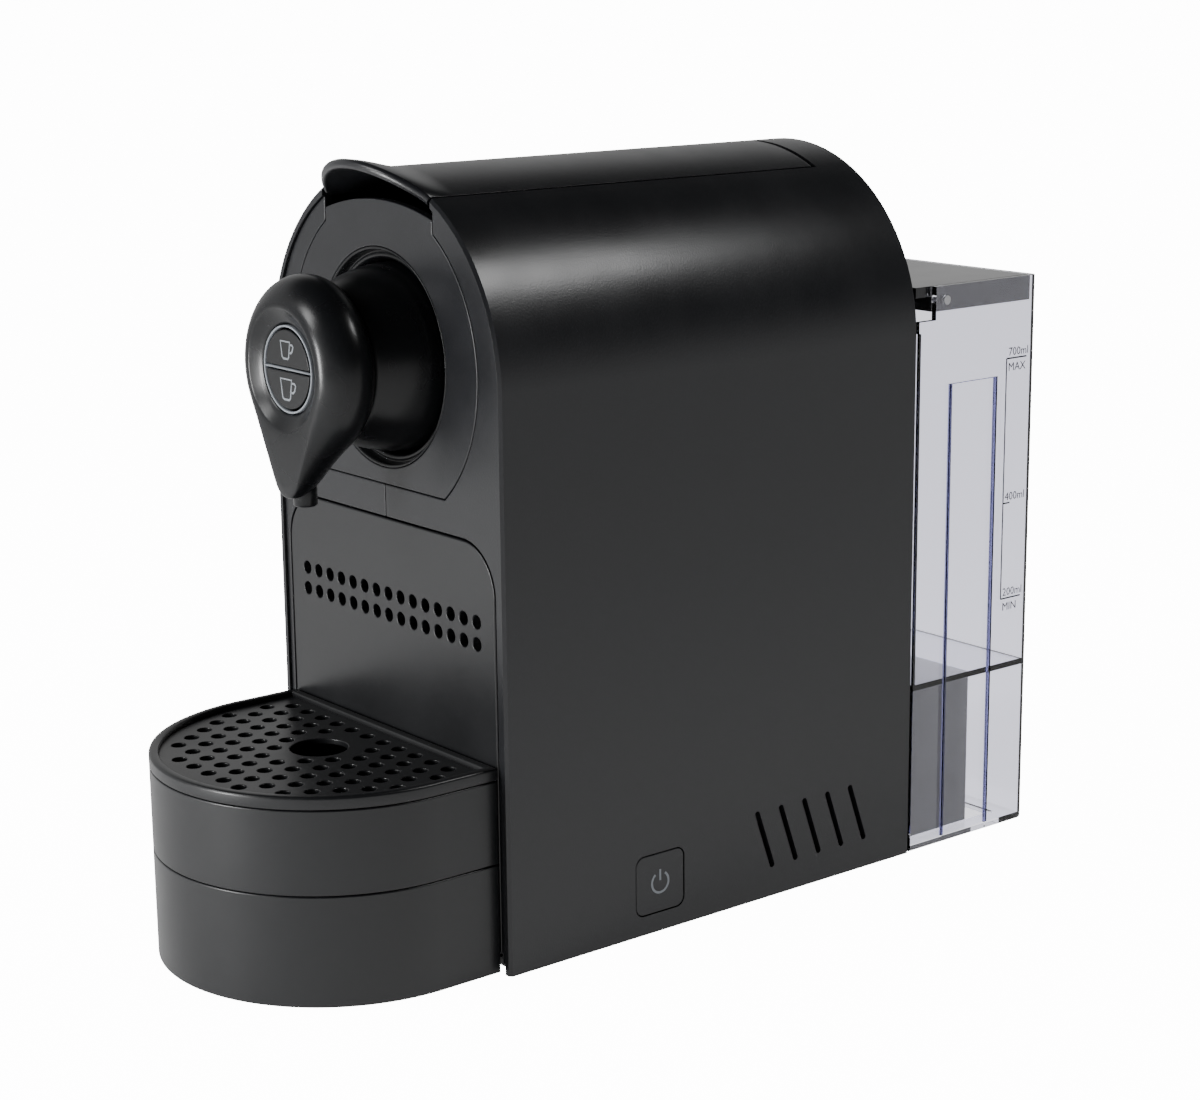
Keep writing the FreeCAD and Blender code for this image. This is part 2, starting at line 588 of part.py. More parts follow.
def brew_button(label, side):
    """A half-moon cap above (+1) or below (-1) the bar, with its stem."""
    low = "size.bezel_bar / 2 + size.button_gap"
    z = (f"size.brew_axis + {low}", "size.brew_axis + size.button_r")
    if side < 0:
        z = ("size.brew_axis - size.button_r", f"size.brew_axis - ({low})")
    disc = rod(f"{label}_disc", "y", CAP_FRONT, CAP_BACK, ("0", "size.brew_axis"), "size.button_r")
    half = common(f"{label}_half", disc, box(f"{label}_side", ("-size.button_r", "size.button_r"),
                                             (CAP_FRONT, CAP_BACK), z))
    stem = rod(f"{label}_stem", "y", CAP_BACK, f"{CAP_BACK} + size.stem_long",
               ("0", f"size.brew_axis + {side} * size.stem_off"), "size.stem_r")
    keep(fuse(label, half, stem), label)
    coil(f"{label}_spring", "y", ("0", CAP_BACK, f"size.brew_axis + {side} * size.stem_off"),
         "size.button_spring_r", f"{BOARD_FACE} - {CAP_BACK}")


def coil(label, axis, foot, radius, length):
    """A closed-ended compression spring from its foot along an axis."""
    wire = number("size.spring_wire")
    tall = number(length) - 2 * wire
    helix = Part.makeLongHelix(tall / number("size.spring_turns"), tall, number(radius))
    ring = Part.Wire(Part.Circle(V(number(radius), 0, 0), V(0, 1, 0), wire).toShape())
    shape = Part.Wire(helix.Edges).makePipeShell([ring], True, True)
    turn = {"x": FreeCAD.Rotation(V(0, 0, 1), V(1, 0, 0)), "y": FreeCAD.Rotation(V(0, 0, 1), V(0, 1, 0)),
            "z": FreeCAD.Rotation()}[axis]
    made = doc.addObject("Part::Feature", label)
    made.Shape = shape
    start = V(*[number(c) for c in foot]) + turn.multVec(V(0, 0, wire))
    made.Placement = FreeCAD.Placement(start, turn)
    return keep(made, label)


def button_board():
    middle = ("0", "size.brew_axis")
    plate = rod("button_board_plate", "y", BOARD_FACE, f"{BOARD_FACE} + size.board_thick", middle,
                "size.board_r")
    half = "size.switch_side / 2"
    switches = [box(f"button_switch_{side}", (f"-{half}", half), (SWITCH_FACE, BOARD_FACE),
                    (f"size.brew_axis + {side} * size.stem_off - {half}",
                     f"size.brew_axis + {side} * size.stem_off + {half}")) for side in (1, -1)]
    keep(group("button_board", plate, *switches), "button_board")


def tube(label, points, bend):
    """A round hose of the common size through points, each corner an arc of radius bend."""
    places = [V(*[number(c) for c in point]) for point in points]
    edges = []
    start = places[0]
    for before, corner, after in zip(places, places[1:], places[2:]):
        back = (before - corner).normalize()
        ahead = (after - corner).normalize()
        half = back.getAngle(ahead) / 2
        reach = bend / math.tan(half)
        first = corner + back * reach
        last = corner + ahead * reach
        middle = corner + (back + ahead).normalize() * (bend / math.sin(half) - bend)
        edges += [Part.LineSegment(start, first).toShape(), Part.Arc(first, middle, last).toShape()]
        start = last
    edges.append(Part.LineSegment(start, places[-1]).toShape())
    path = Part.Wire(edges)
    way = (places[1] - places[0]).normalize()
    rings = [Part.Wire(Part.Circle(places[0], way, number(radius)).toShape())
             for radius in ("size.tube_r", "size.tube_bore")]
    outer, inner = [path.makePipeShell([ring], True, False) for ring in rings]
    made = doc.addObject("Part::Feature", label)
    made.Shape = outer.cut(inner)
    made.Placement = FreeCAD.Placement()
    return keep(made, label)


def nozzle_and_duct():
    z = ("size.nozzle_low", "size.nozzle_low + size.nozzle_long")
    nozzle = cut("spout_nozzle", rod("nozzle_outside", "z", *z, ("0", NOZZLE_Y), "size.nozzle_r"),
                 rod("nozzle_bore_tool", "z", *z, ("0", NOZZLE_Y), "size.nozzle_bore"))
    keep(nozzle, "spout_nozzle")
    level = "size.brew_axis - size.duct_drop"
    tube("coffee_duct", [("0", PLATE_FRONT, level), ("0", NOZZLE_Y, level),
                         ("0", NOZZLE_Y, "size.nozzle_low + size.nozzle_long")], 2 * number("size.tube_r"))


# ---------------------------------------------------------------- lever and its drive
def lever_cover():
    cover = body("lever_cover")
    flat = sketch(cover, "lever_section", "YZ", "0", "size.arch_axis")
    end = f"({FRONT} + size.lever_end)"
    start = f"({FRONT} + size.lip_start)"
    tip = f"({FRONT} - size.lip_reach)"
    run = "(size.lip_start + size.lip_reach)"
    bend = f"(({run}^2 + size.lip_rise^2) / (2 * size.lip_rise))"
    under = f"({HALF} - size.lever_thick)"
    outline(flat, [
        ("to", end, under), ("to", end, HALF), ("to", start, HALF),
        ("arc", start, f"{HALF} + {bend}", -1), ("to", tip, f"{HALF} + size.lip_rise", "x"),
        ("to", tip, f"{HALF} + {bend} - sqrt(({bend} + size.lever_thick)^2 - {run}^2)"),
        ("arc", start, f"{HALF} + {bend}", 1), ("to", start, under, "x"),
    ])
    turned(cover, flat, angle=f"2 * asin(size.lever_half / {under}) + size.lever_spare * 1 deg", both=True)
    plan = sketch(cover, "lever_plan", "XY", "size.arch_axis")
    nose_r = "((size.lever_half^2 + size.lip_reach^2) / (2 * size.lip_reach))"
    outline(plan, [
        ("to", "-size.lever_half", FRONT), ("arc", "0", f"{tip} + {nose_r}", 1),
        ("to", "size.lever_half", FRONT, "x"), ("to", "size.lever_half", end),
        ("to", "-size.lever_half", end),
    ])
    outline(plan, [
        ("to", f"-{HALF}", f"{tip} - {HALF}"), ("to", HALF, f"{tip} - {HALF}"),
        ("to", HALF, f"{end} + {HALF}"), ("to", f"-{HALF}", f"{end} + {HALF}"),
    ])
    trimmed = pocket(cover, plan, f"2 * {HALF}", away=True)
    soften(cover, trimmed, lambda p: near(p.y, end) and shell_rim(p), "size.edge_round")
    return keep(cover, "lever_cover")


def lever_drive():
    arm = ("size.arm_out - size.arm_thick", "size.arm_out")
    y = (f"{CRANK_Y} - size.arm_boss", f"{PIVOT_Y} + size.arm_boss")
    z = ("size.pivot_z - size.arm_boss", f"size.arch_axis + {HALF}")
    skin = rod("arm_skin", "y", *y, ("0", "size.arch_axis"), f"{HALF} - size.lever_thick")
    blanks = [common(f"{made.Name}_trimmed", made, skin) for made in pair("arm_blank", *arm, y, z)]
    bores = rod_pair("arm_pivot_bore", *arm, (PIVOT_Y, "size.pivot_z"), "size.pivot_r + size.run_fit")
    bores += rod_pair("arm_crank_bore", *arm, (CRANK_Y, CRANK_Z), "size.link_pin_r")
    keep(cut("lever_arms", group("arm_blanks", *blanks), *bores), "lever_arms")
    pins = rod_pair("pivot_pin", "size.arm_out - size.arm_thick", CHEEK_OUT, (PIVOT_Y, "size.pivot_z"),
                    "size.pivot_r")
    keep(group("lever_pivot_pins", *pins), "lever_pivot_pins")
    pins = rod_pair("crank_pin", f"{LINK_OUT} - size.link_thick", "size.arm_out", (CRANK_Y, CRANK_Z),
                    "size.link_pin_r")
    keep(group("crank_pins", *pins), "crank_pins")
    drop = f"({CRANK_Z} - size.brew_axis)"
    run = f"({CRANK_Y} - {PISTON_PIN_Y})"
    angle = f"180 deg + atan({drop} / {run})"
    links = []
    for side, label in ((1, "link_right"), (-1, "link_left")):
        x = (f"{LINK_OUT} - size.link_thick", LINK_OUT)
        if side < 0:
            x = (f"-{LINK_OUT}", f"size.link_thick - {LINK_OUT}")
        eye = "size.link_pin_r + size.link_eye_slack"
        bar = box(f"{label}_bar", x, ("0", f"sqrt({drop}^2 + {run}^2)"), ("0", "size.link_wide"))
        bar.Placement = FreeCAD.Placement(V(0, 0, 0), FreeCAD.Rotation(V(1, 0, 0), 225))
        bar.setExpression("Placement.Rotation.Angle", angle)
        bar.setExpression("Placement.Base.x", x[0])
        bar.setExpression("Placement.Base.y", f"{CRANK_Y} + sin({angle}) * size.link_wide / 2")
        bar.setExpression("Placement.Base.z", f"{CRANK_Z} - cos({angle}) * size.link_wide / 2")
        top = rod(f"{label}_top", "x", *x, (CRANK_Y, CRANK_Z), "size.link_pin_r + size.link_rim")
        low = rod(f"{label}_low", "x", *x, (PISTON_PIN_Y, "size.brew_axis"), f"{eye} + size.link_rim")
        solid = fuse(f"{label}_solid", bar, top, low)
        top_bore = rod(f"{label}_top_bore", "x", *x, (CRANK_Y, CRANK_Z), "size.link_pin_r + size.run_fit")
        eye_bore = rod(f"{label}_eye_bore", "x", *x, (PISTON_PIN_Y, "size.brew_axis"), eye)
        links.append(cut(label, solid, top_bore, eye_bore))
    keep(group("drive_links", *links), "drive_links")


# ---------------------------------------------------------------- brewing unit


def brewing_unit():
    ear = (f"{PIVOT_Y} - 2 * size.arm_boss", f"{PIVOT_Y} + size.arm_boss - size.gap")
    cheek = ("size.cheek_in", CHEEK_OUT)
    plates = pair("cheek", *cheek, (PLATE_FRONT, ear[1]), (SHELF_TOP, "size.brew_high"))
    ears = pair("cheek_ear", *cheek, ear, ("size.brew_high", "size.pivot_z + size.arm_boss - size.gap"))
    floor = box("cheek_floor", ("-size.cheek_in", "size.cheek_in"), (f"{CAPSULE_BACK} + size.gap", ear[1]),
                ("size.brew_low", "size.brew_low + size.cheek_thick"))
    bores = rod_pair("cheek_pivot_bore", *cheek, (PIVOT_Y, "size.pivot_z"), "size.pivot_r")
    reach = "size.link_pin_r + size.gap"
    slots = pair("cheek_slot", *cheek,
                 (f"{PISTON_PIN_Y} - ({reach})", f"{PISTON_PIN_Y} + size.brew_travel + {reach}"),
                 ("size.brew_axis - size.link_pin_r - size.run_fit",
                  "size.brew_axis + size.link_pin_r + size.run_fit"))
    keep(cut("brew_frame", fuse("cheeks", *plates, *ears, floor), *bores, *slots), "brew_frame")

    inner_face = f"({FRONT} + size.capsule_front)"
    block = box("extraction_block", ("-size.cheek_in", "size.cheek_in"), (PLATE_FRONT, inner_face),
                ("size.brew_low", "size.brew_high"))
    dish = rod("extraction_dish", "y", f"{inner_face} - size.extract_deep", inner_face,
               ("0", "size.brew_axis"), "size.extract_dish + size.tube_r")
    drain = rod("extraction_drain", "y", PLATE_FRONT, inner_face, ("0", "size.brew_axis - size.duct_drop"),
                "size.tube_bore")
    keep(cut("extraction_plate", block, dish, drain), "extraction_plate")

    piston = rod("piston_body", "y", CAPSULE_BACK, f"{CAPSULE_BACK} + size.piston_long",
                 ("0", "size.brew_axis"), "size.piston_r")
    bore = rod("piston_bore", "x", "-size.piston_r", "size.piston_r", (PISTON_PIN_Y, "size.brew_axis"),
               "size.link_pin_r")
    keep(cut("brew_piston", piston, bore), "brew_piston")
    keep(rod("piston_pin", "x", f"-{CHEEK_OUT}", CHEEK_OUT, (PISTON_PIN_Y, "size.brew_axis"),
             "size.link_pin_r"), "piston_pin")
    needles = []
    for i in range(3):
        turn = f"({90 + 120 * i} deg)"
        centre = (f"size.needle_ring * cos({turn})", f"size.brew_axis + size.needle_ring * sin({turn})")
        needles.append(rod(f"needle_{i}", "y", f"{CAPSULE_BACK} - size.needle_long", CAPSULE_BACK, centre,
                           "size.needle_r"))
    keep(group("capsule_needles", *needles), "capsule_needles")


def inner_chassis():
    wide = (f"-{CHASSIS_HALF}", CHASSIS_HALF)
    wall_y = f"({FRONT} + size.chassis_y)"
    shelf = box("chassis_shelf", wide, (f"{FACE} + size.plate", f"{PIVOT_Y} + size.arm_boss"),
                ("size.shelf_z", SHELF_TOP))
    wall = box("chassis_wall", wide, (wall_y, f"{wall_y} + size.wall"), (BASE_TOP, "size.shelf_z"))
    drop_y = f"({FRONT} + size.drop_front)"
    hole = box("capsule_drop", ("-size.drop_half", "size.drop_half"), (drop_y, f"{drop_y} + size.drop_long"),
               ("size.shelf_z", SHELF_TOP))
    keep(cut("inner_chassis", fuse("chassis_blank", shelf, wall), hole), "inner_chassis")


# ---------------------------------------------------------------- drawer, drip tray and grid
def d_outline(flat, inset, back):
    """The D of the tray: a straight back, short sides and a half circle to the front."""
    half = f"(size.tray_half - {inset})"
    outline(flat, [
        ("to", f"-{half}", TRAY_ARC), ("arc", "0", TRAY_ARC, 1), ("to", half, TRAY_ARC, "y"),
        ("to", half, back), ("to", f"-{half}", back),
    ])


def d_tub(label, low, high, floor):
    """A D-shaped tub, open at its top."""
    tub = body(label)
    outside = sketch(tub, f"{label}_outside", "XY", low)
    d_outline(outside, "0", TRAY_BACK)
    pad(tub, outside, f"({high}) - ({low})")
    inside = sketch(tub, f"{label}_inside", "XY", high)
    d_outline(inside, "size.tray_wall", f"{TRAY_BACK} - size.tray_wall")
    pocket(tub, inside, f"({high}) - ({low}) - ({floor})")
    return tub


def drawer():
    base = d_tub("tray_base", SHELL_LOW, "size.tray_split - size.seam", f"{RUNNER_TOP} - {SHELL_LOW}")
    tongue = sketch(base, "tray_base_tongue", "XY", "size.runner_low")
    back = f"({FRONT} + size.bin_depth)"
    outline(tongue, [("to", "-size.bin_half", TRAY_BACK), ("to", "size.bin_half", TRAY_BACK),
                     ("to", "size.bin_half", back), ("to", "-size.bin_half", back)])
    pad(base, tongue, "size.tray_wall")
    keep(base, "tray_base")

    panel = body("drawer_panel")
    flat = sketch(panel, "panel_outline", "XZ", FACE)
    corner_x = "(size.panel_half - size.panel_corner)"
    corner_z = "(size.panel_top - size.panel_corner)"
    outline(flat, [
        ("to", "-size.panel_half", RUNNER_TOP), ("to", "size.panel_half", RUNNER_TOP),
        ("to", "size.panel_half", corner_z), ("arc", corner_x, corner_z, 1),
        ("to", corner_x, "size.panel_top", "x"),
        ("to", f"-{corner_x}", "size.panel_top"), ("arc", f"-{corner_x}", corner_z, 1),
        ("to", "-size.panel_half", corner_z, "y"),
    ])
    pad(panel, flat, "size.plate", away=True)
    holes = sketch(panel, "panel_holes", "XZ", FACE)
    steps = VENT_COLUMNS - 1
    for row in range(2):
        circle(holes, f"-{steps} / 2 * size.vent_pitch", f"size.vent_row_low + {row} * size.vent_row_step",
               "size.vent_hole / 2")
    first = pocket(panel, holes)
    pattern(panel, [first], (holes, ["H_Axis"]), VENT_COLUMNS, f"{steps} * size.vent_pitch")
    keep(panel, "drawer_panel")

    y = (f"{FACE} + size.plate", back)
    outer = box("bin_outside", ("-size.bin_half", "size.bin_half"), y, (RUNNER_TOP, "size.bin_top"))
    inner = box("bin_inside", ("size.bin_wall - size.bin_half", "size.bin_half - size.bin_wall"),
                (y[0], f"{back} - size.bin_wall"), (f"{RUNNER_TOP} + size.bin_wall", "size.bin_top"))
    keep(cut("capsule_bin", outer, inner), "capsule_bin")
    keep(d_tub("drip_tray", "size.tray_split", f"{RIM_LOW} - size.seam", "size.tray_wall"), "drip_tray")
    drip_grid()


def drip_grid():
    grid = body("drip_grid_blank")
    outside = sketch(grid, "grid_outside", "XY", RIM_LOW)
    d_outline(outside, "0", TRAY_BACK)
    pad(grid, outside, "size.rim_high")
    sink = sketch(grid, "grid_sink_outline", "XY", "size.tray_top")
    d_outline(sink, "size.rim_wide", f"{TRAY_BACK} - size.rim_wide")
    pocket(grid, sink, "size.grid_sink")
    under = sketch(grid, "grid_under_outline", "XY", RIM_LOW)
    d_outline(under, "size.rim_wide", f"{TRAY_BACK} - size.rim_wide")
    last = pocket(grid, under, "size.rim_high - size.grid_sink - size.grid_thick", away=True)
    rim = lambda p: near(p.z, "size.tray_top") and on_tray_edge(p)
    soften(grid, last, rim, "size.edge_round")
    holes = doc.addObject("Part::Feature", "grid_holes")
    radius = number("size.grid_hole") / 2
    low = number(f"{GRID_TOP} - size.grid_thick - 1")
    tall = number("size.grid_thick") + 2
    cup = V(0, number(CUP_Y), low)
    drill = [Part.makeCylinder(number("size.cup_hole") / 2, tall, cup)]
    drill += [Part.makeCylinder(radius, tall, V(x, y, low)) for x, y in grid_places()]
    holes.Shape = Part.makeCompound(drill)
    holes.Placement = FreeCAD.Placement()
    keep(cut("drip_grid", grid, holes), "drip_grid")


def on_tray_edge(point):
    """True on the outside of the D, its straight back left out."""
    half = number("size.tray_half")
    arc = number(TRAY_ARC)
    if point.y >= arc:
        return abs(abs(point.x) - half) < TINY
    return abs(math.hypot(point.x, point.y - arc) - half) < TINY


def grid_places():
    """Centres of the staggered drain holes that lie inside the rim and clear of the cup hole."""
    pitch_x = number("size.grid_pitch_x")
    pitch_y = number("size.grid_pitch_y")
    front = number(FRONT)
    arc = number(TRAY_ARC)
    room = number("size.tray_half - size.rim_wide - size.grid_hole / 2") - 1
    keep_off = number("size.cup_hole / 2 + size.grid_hole / 2") + 1
    places = []
    rows = int(number("(size.tray_half + size.tray_straight) / size.grid_pitch_y"))
    for row in range(rows):
        y = front - number("size.grid_rear_row") - row * pitch_y
        shift = pitch_x / 2 if row % 2 else 0
        count = int(room / pitch_x) + 1
        for column in range(-count, count + 1):
            x = column * pitch_x + shift
            inside = abs(x) < room if y > arc else math.hypot(x, y - arc) < room
            if inside and math.hypot(x, y - number(CUP_Y)) > keep_off:
                places.append((x, y))
    return places


# ---------------------------------------------------------------- power button and base
def power_switchgear():
    cap_low = f"({HALF} - size.power_thick)"
    cap = body("power_cap")
    flat = sketch(cap, "power_outline", "YZ", cap_low)
    rounded(flat, POWER_Y, "size.power_z", "(size.power_side / 2)", "size.power_corner")
    pad(cap, flat, "size.power_thick")
    centre = (POWER_Y, "size.power_z")
    stem_low = f"({cap_low} - size.stem_long)"
    stem = rod("power_stem", "x", stem_low, cap_low, centre, "size.stem_r")
    keep(fuse("power_button", cap, stem), "power_button")
    face = f"({stem_low} - size.power_travel - size.gap)"
    back = f"({face} - size.switch_high)"
    half = "size.switch_side"
    y = (f"{POWER_Y} - {half}", f"{POWER_Y} + {half}")
    high = f"size.power_z + {half}"
    keep(box("power_switch", (back, face), y, (f"size.power_z - {half}", high)), "power_switch")
    keep(box("switch_bracket", (f"{back} - size.board_thick", back), y, (BASE_TOP, high)), "switch_bracket")
    coil("power_button_spring", "x", (face, POWER_Y, "size.power_z"), "size.power_spring_r",
         f"{cap_low} - {face}")


def base():
    y = (f"{FACE} + size.plate", f"{REAR} - size.wall")
    plate = box("base_blank", (f"-{CHASSIS_HALF}", CHASSIS_HALF), y, (SHELL_LOW, BASE_TOP))
    feet = []
    bores = []
    screws = []
    places = (("front", f"{FRONT} + size.foot_front"), ("rear", f"{REAR} - size.foot_rear"))
    for name, place in places:
        for side in (1, -1):
            x = f"{side} * size.foot_x"
            feet.append(rod(f"foot_{name}_{side}", "z", "0", SHELL_LOW, (x, place), "size.foot_r"))
            beside = f"{place} + size.foot_r + size.screw_head + size.gap"
            shank = (SHELL_LOW, f"{BASE_TOP} + size.screw_deep") if name == "rear" else (SHELL_LOW, BASE_TOP)
            bores.append(rod(f"screw_bore_{name}_{side}", "z", SHELL_LOW, BASE_TOP, (x, beside),
                             "size.screw_r"))
            stem = rod(f"screw_shank_{name}_{side}", "z", *shank, (x, beside), "size.screw_r")
            head = rod(f"screw_head_{name}_{side}", "z", f"{SHELL_LOW} - size.screw_head_high", SHELL_LOW,
                       (x, beside), "size.screw_head")
            screws.append(fuse(f"screw_{name}_{side}", stem, head))
    keep(cut("base_plate", plate, *bores), "base_plate")
    keep(group("rubber_feet", *feet), "rubber_feet")
    keep(group("base_screws", *screws), "base_screws")
    rear = body("rear_panel")
    flat = sketch(rear, "rear_outline", "XZ", f"{REAR} - size.wall")
    outline(flat, arch(CHASSIS_HALF, SHELL_LOW))
    circle(flat, "0", SUCTION_Z, "size.tube_r + size.gap")
    pad(rear, flat, "size.wall", away=True)
    keep(rear, "rear_panel")
    x = (f"-{HALF}", f"size.gland_long - {HALF}")
    centre = (f"{FRONT} + size.gland_y", "size.gland_z")
    keep(cut("cord_gland", rod("gland_outside", "x", *x, centre, "size.gland_r"),
             rod("gland_bore", "x", *x, centre, "size.cord_r")), "cord_gland")


# ---------------------------------------------------------------- water path and electrics


def water_path():
    centre = (PUMP_Y, "size.pump_z")
    half = "size.coil_side / 2"
    barrel = rod("pump_barrel", "x", "-size.pump_long / 2", "size.pump_long / 2", centre, "size.pump_r")
    winding = box("pump_coil", ("-size.coil_long / 2", "size.coil_long / 2"),
                  (f"{PUMP_Y} - {half}", f"{PUMP_Y} + {half}"),
                  (f"size.pump_z - {half}", f"size.pump_z + {half}"))
    keep(fuse("pump", barrel, winding), "pump")
    side = "size.mount_side / 2"
    blocks = pair("pump_mount", "size.mount_x", "size.mount_x + size.mount_thick",
                  (f"{PUMP_Y} - {side}", f"{PUMP_Y} + {side}"), (BASE_TOP, f"size.pump_z + {side}"))
    bore = rod("pump_mount_bore", "x", "-size.pump_long", "size.pump_long", centre, "size.pump_r")
    keep(cut("pump_mounts", group("pump_mount_blanks", *blocks), bore), "pump_mounts")
    block_x = ("size.block_x", "size.block_x + size.block_long")
    block_y = (f"{FRONT} + size.block_y", f"{FRONT} + size.block_y + size.block_deep")
    keep(box("heater_block", block_x, block_y, ("size.block_z", BLOCK_TOP)), "heater_block")
    shelf_y = (f"{FRONT} + size.chassis_y + size.wall", block_y[1])
    keep(box("heater_shelf", ("size.block_x", "size.meter_x + size.meter_r"), shelf_y,
             ("size.block_z - size.wall", "size.block_z")), "heater_shelf")
    keep(rod("thermostat", "z", BLOCK_TOP, f"{BLOCK_TOP} + size.thermostat_high",
             ("size.block_x + size.block_long / 2", f"{FRONT} + size.block_y + size.block_deep / 2"),
             "size.thermostat_r"), "thermostat")
    keep(rod("flow_meter", "z", "size.block_z", "size.block_z + size.meter_high", ("size.meter_x", PUMP_Y),
             "size.meter_r"), "flow_meter")

    bend = 2 * number("size.tube_r")
    tight_bend = 1.5 * number("size.tube_r")
    meter_top = "size.block_z + size.meter_high"
    crown = f"{meter_top} + 4 * size.tube_r"
    riser = "size.pump_long / 2 + 3 * size.tube_r"
    behind = f"{REAR} - size.wall - 2.5 * size.tube_r"
    tube("suction_tube", [
        ("0", OUTLET_Y, "size.support_top - size.support_top_thick"), ("0", OUTLET_Y, SUCTION_Z),
        ("0", behind, SUCTION_Z), (riser, behind, SUCTION_Z), (riser, PUMP_Y, SUCTION_Z),
        (riser, PUMP_Y, crown), ("size.meter_x", PUMP_Y, crown), ("size.meter_x", PUMP_Y, meter_top),
    ], bend)
    low = "size.pump_z"
    side_x = "(-size.pump_long / 2 - 2 * size.tube_r)"
    mid_z = f"({BLOCK_TOP} - size.block_high / 2)"
    tube("pressure_tube", [
        ("-size.pump_long / 2", PUMP_Y, low), (side_x, PUMP_Y, low), (side_x, PUMP_Y, mid_z),
        ("size.block_x", PUMP_Y, mid_z),
    ], tight_bend)
    high = "(size.brew_low - 3 * size.tube_r)"
    rise_x = "size.block_x + size.block_long - 2 * size.tube_r"
    rise_y = f"{block_y[1]} - 4 * size.tube_r"
    meet_y = f"{PIVOT_Y} - 3 * size.arm_boss"
    tube("brew_tube", [(rise_x, rise_y, BLOCK_TOP), (rise_x, rise_y, high), ("0", rise_y, high),
                       ("0", meet_y, high), ("0", meet_y, "size.brew_low")], bend)


def electrics():
    wall_x = f"-{INNER}"
    x = (f"{wall_x} + size.pcb_off", f"{wall_x} + size.pcb_off + size.board_thick")
    part_x = (x[1], f"{x[1]} + size.board_part_high")
    y0 = f"({FRONT} + size.chassis_y + 2 * size.wall)"
    z0 = "size.pcb_low"
    keep(box("control_board", x, (y0, f"{y0} + size.pcb_long"), (z0, f"{z0} + size.pcb_high")),
         "control_board")
    posts = []
    inset = "2 * size.standoff_r"
    for i, y in enumerate((f"{y0} + {inset}", f"{y0} + size.pcb_long - {inset}")):
        for j, z in enumerate((f"{z0} + {inset}", f"{z0} + size.pcb_high - {inset}")):
            posts.append(rod(f"standoff_{i}_{j}", "x", wall_x, x[0], (y, z), "size.standoff_r"))
    keep(group("board_standoffs", *posts), "board_standoffs")
    parts = [box(name, part_x, (f"{y0} + size.{name}_y", f"{y0} + size.{name}_y + size.{name}_long"),
                 (f"{z0} + size.{name}_z", f"{z0} + size.{name}_z + size.{name}_high"))
             for name in ("relay", "terminal")]
    can = rod("capacitor", "x", *part_x, (f"{y0} + size.can_y", f"{z0} + size.can_z"), "size.can_r")
    keep(group("board_parts", *parts, can), "board_parts")


# ---------------------------------------------------------------- tank, lid and valve


def tank():
    solid = body("tank_blank")
    flat = sketch(solid, "tank_outline", "XY", SHELL_LOW)
    outline(flat, [("to", f"-{HALF}", TANK_FACE), ("to", HALF, TANK_FACE), ("to", HALF, TANK_BACK),
                   ("to", f"-{HALF}", TANK_BACK)])
    last = pad(solid, flat, f"size.tank_top - {SHELL_LOW}")
    last = soften(solid, last, lambda p: near(p.y, TANK_BACK) and near(abs(p.x), HALF), "size.tank_corner")
    soften(solid, last, lambda p: near(p.z, SHELL_LOW) and p.y > number(TANK_FACE) + 1, "size.edge_round")
    inner = f"({HALF} - size.tank_wall)"
    wide = (f"-{inner}", inner)
    back = f"({TANK_BACK} - size.tank_wall)"
    room = box("tank_room", wide, (f"{TANK_FACE} + size.tank_wall", back), (FLOOR_TOP, "size.tank_top"))
    lip = f"({inner} - size.flange_wide)"
    skirt = box("tank_skirt_room", wide, (TANK_FACE, back),
                (f"{SHELL_LOW} + size.tank_wall", "size.tank_floor"))
    sole = box("tank_sole_gap", (f"-{lip}", lip), (TANK_FACE, f"{back} - size.flange_wide"),
               (SHELL_LOW, f"{SHELL_LOW} + size.tank_wall"))
    step = box("tank_step_cut", (f"-{HALF}", HALF), (TANK_FACE, f"{TANK_FACE} + size.tank_step_long"),
               ("size.tank_step", "size.tank_top"))
    front = box("tank_front_cut", wide, (TANK_FACE, f"{TANK_FACE} + size.tank_wall"),
                ("size.tank_front_top", "size.tank_top"))
    panels = pair("tank_panel", f"{HALF} - size.panel_boss_proud", HALF,
                  (f"{REAR} + size.panel_boss_y", f"{REAR} + size.panel_boss_y + size.panel_boss_long"),
                  (SHELL_LOW, "size.panel_boss_top"))
    pin_bores = rod_pair("tank_pin_bore", inner, HALF, (LID_PIN_Y, "size.lid_pin_z"),
                         "size.lid_pin_r + size.run_fit")
    shellwork = cut("tank_shell", solid, room, skirt, sole, step, front, *panels, *pin_bores)
    spigot = rod("tank_spigot", "z", OUTLET_LOW, "size.tank_floor", ("0", OUTLET_Y), "size.outlet_r")
    bore = rod("tank_outlet_bore", "z", OUTLET_LOW, FLOOR_TOP, ("0", OUTLET_Y), "size.outlet_bore")
    keep(cut("water_tank", fuse("tank_with_spigot", shellwork, spigot), bore), "water_tank")


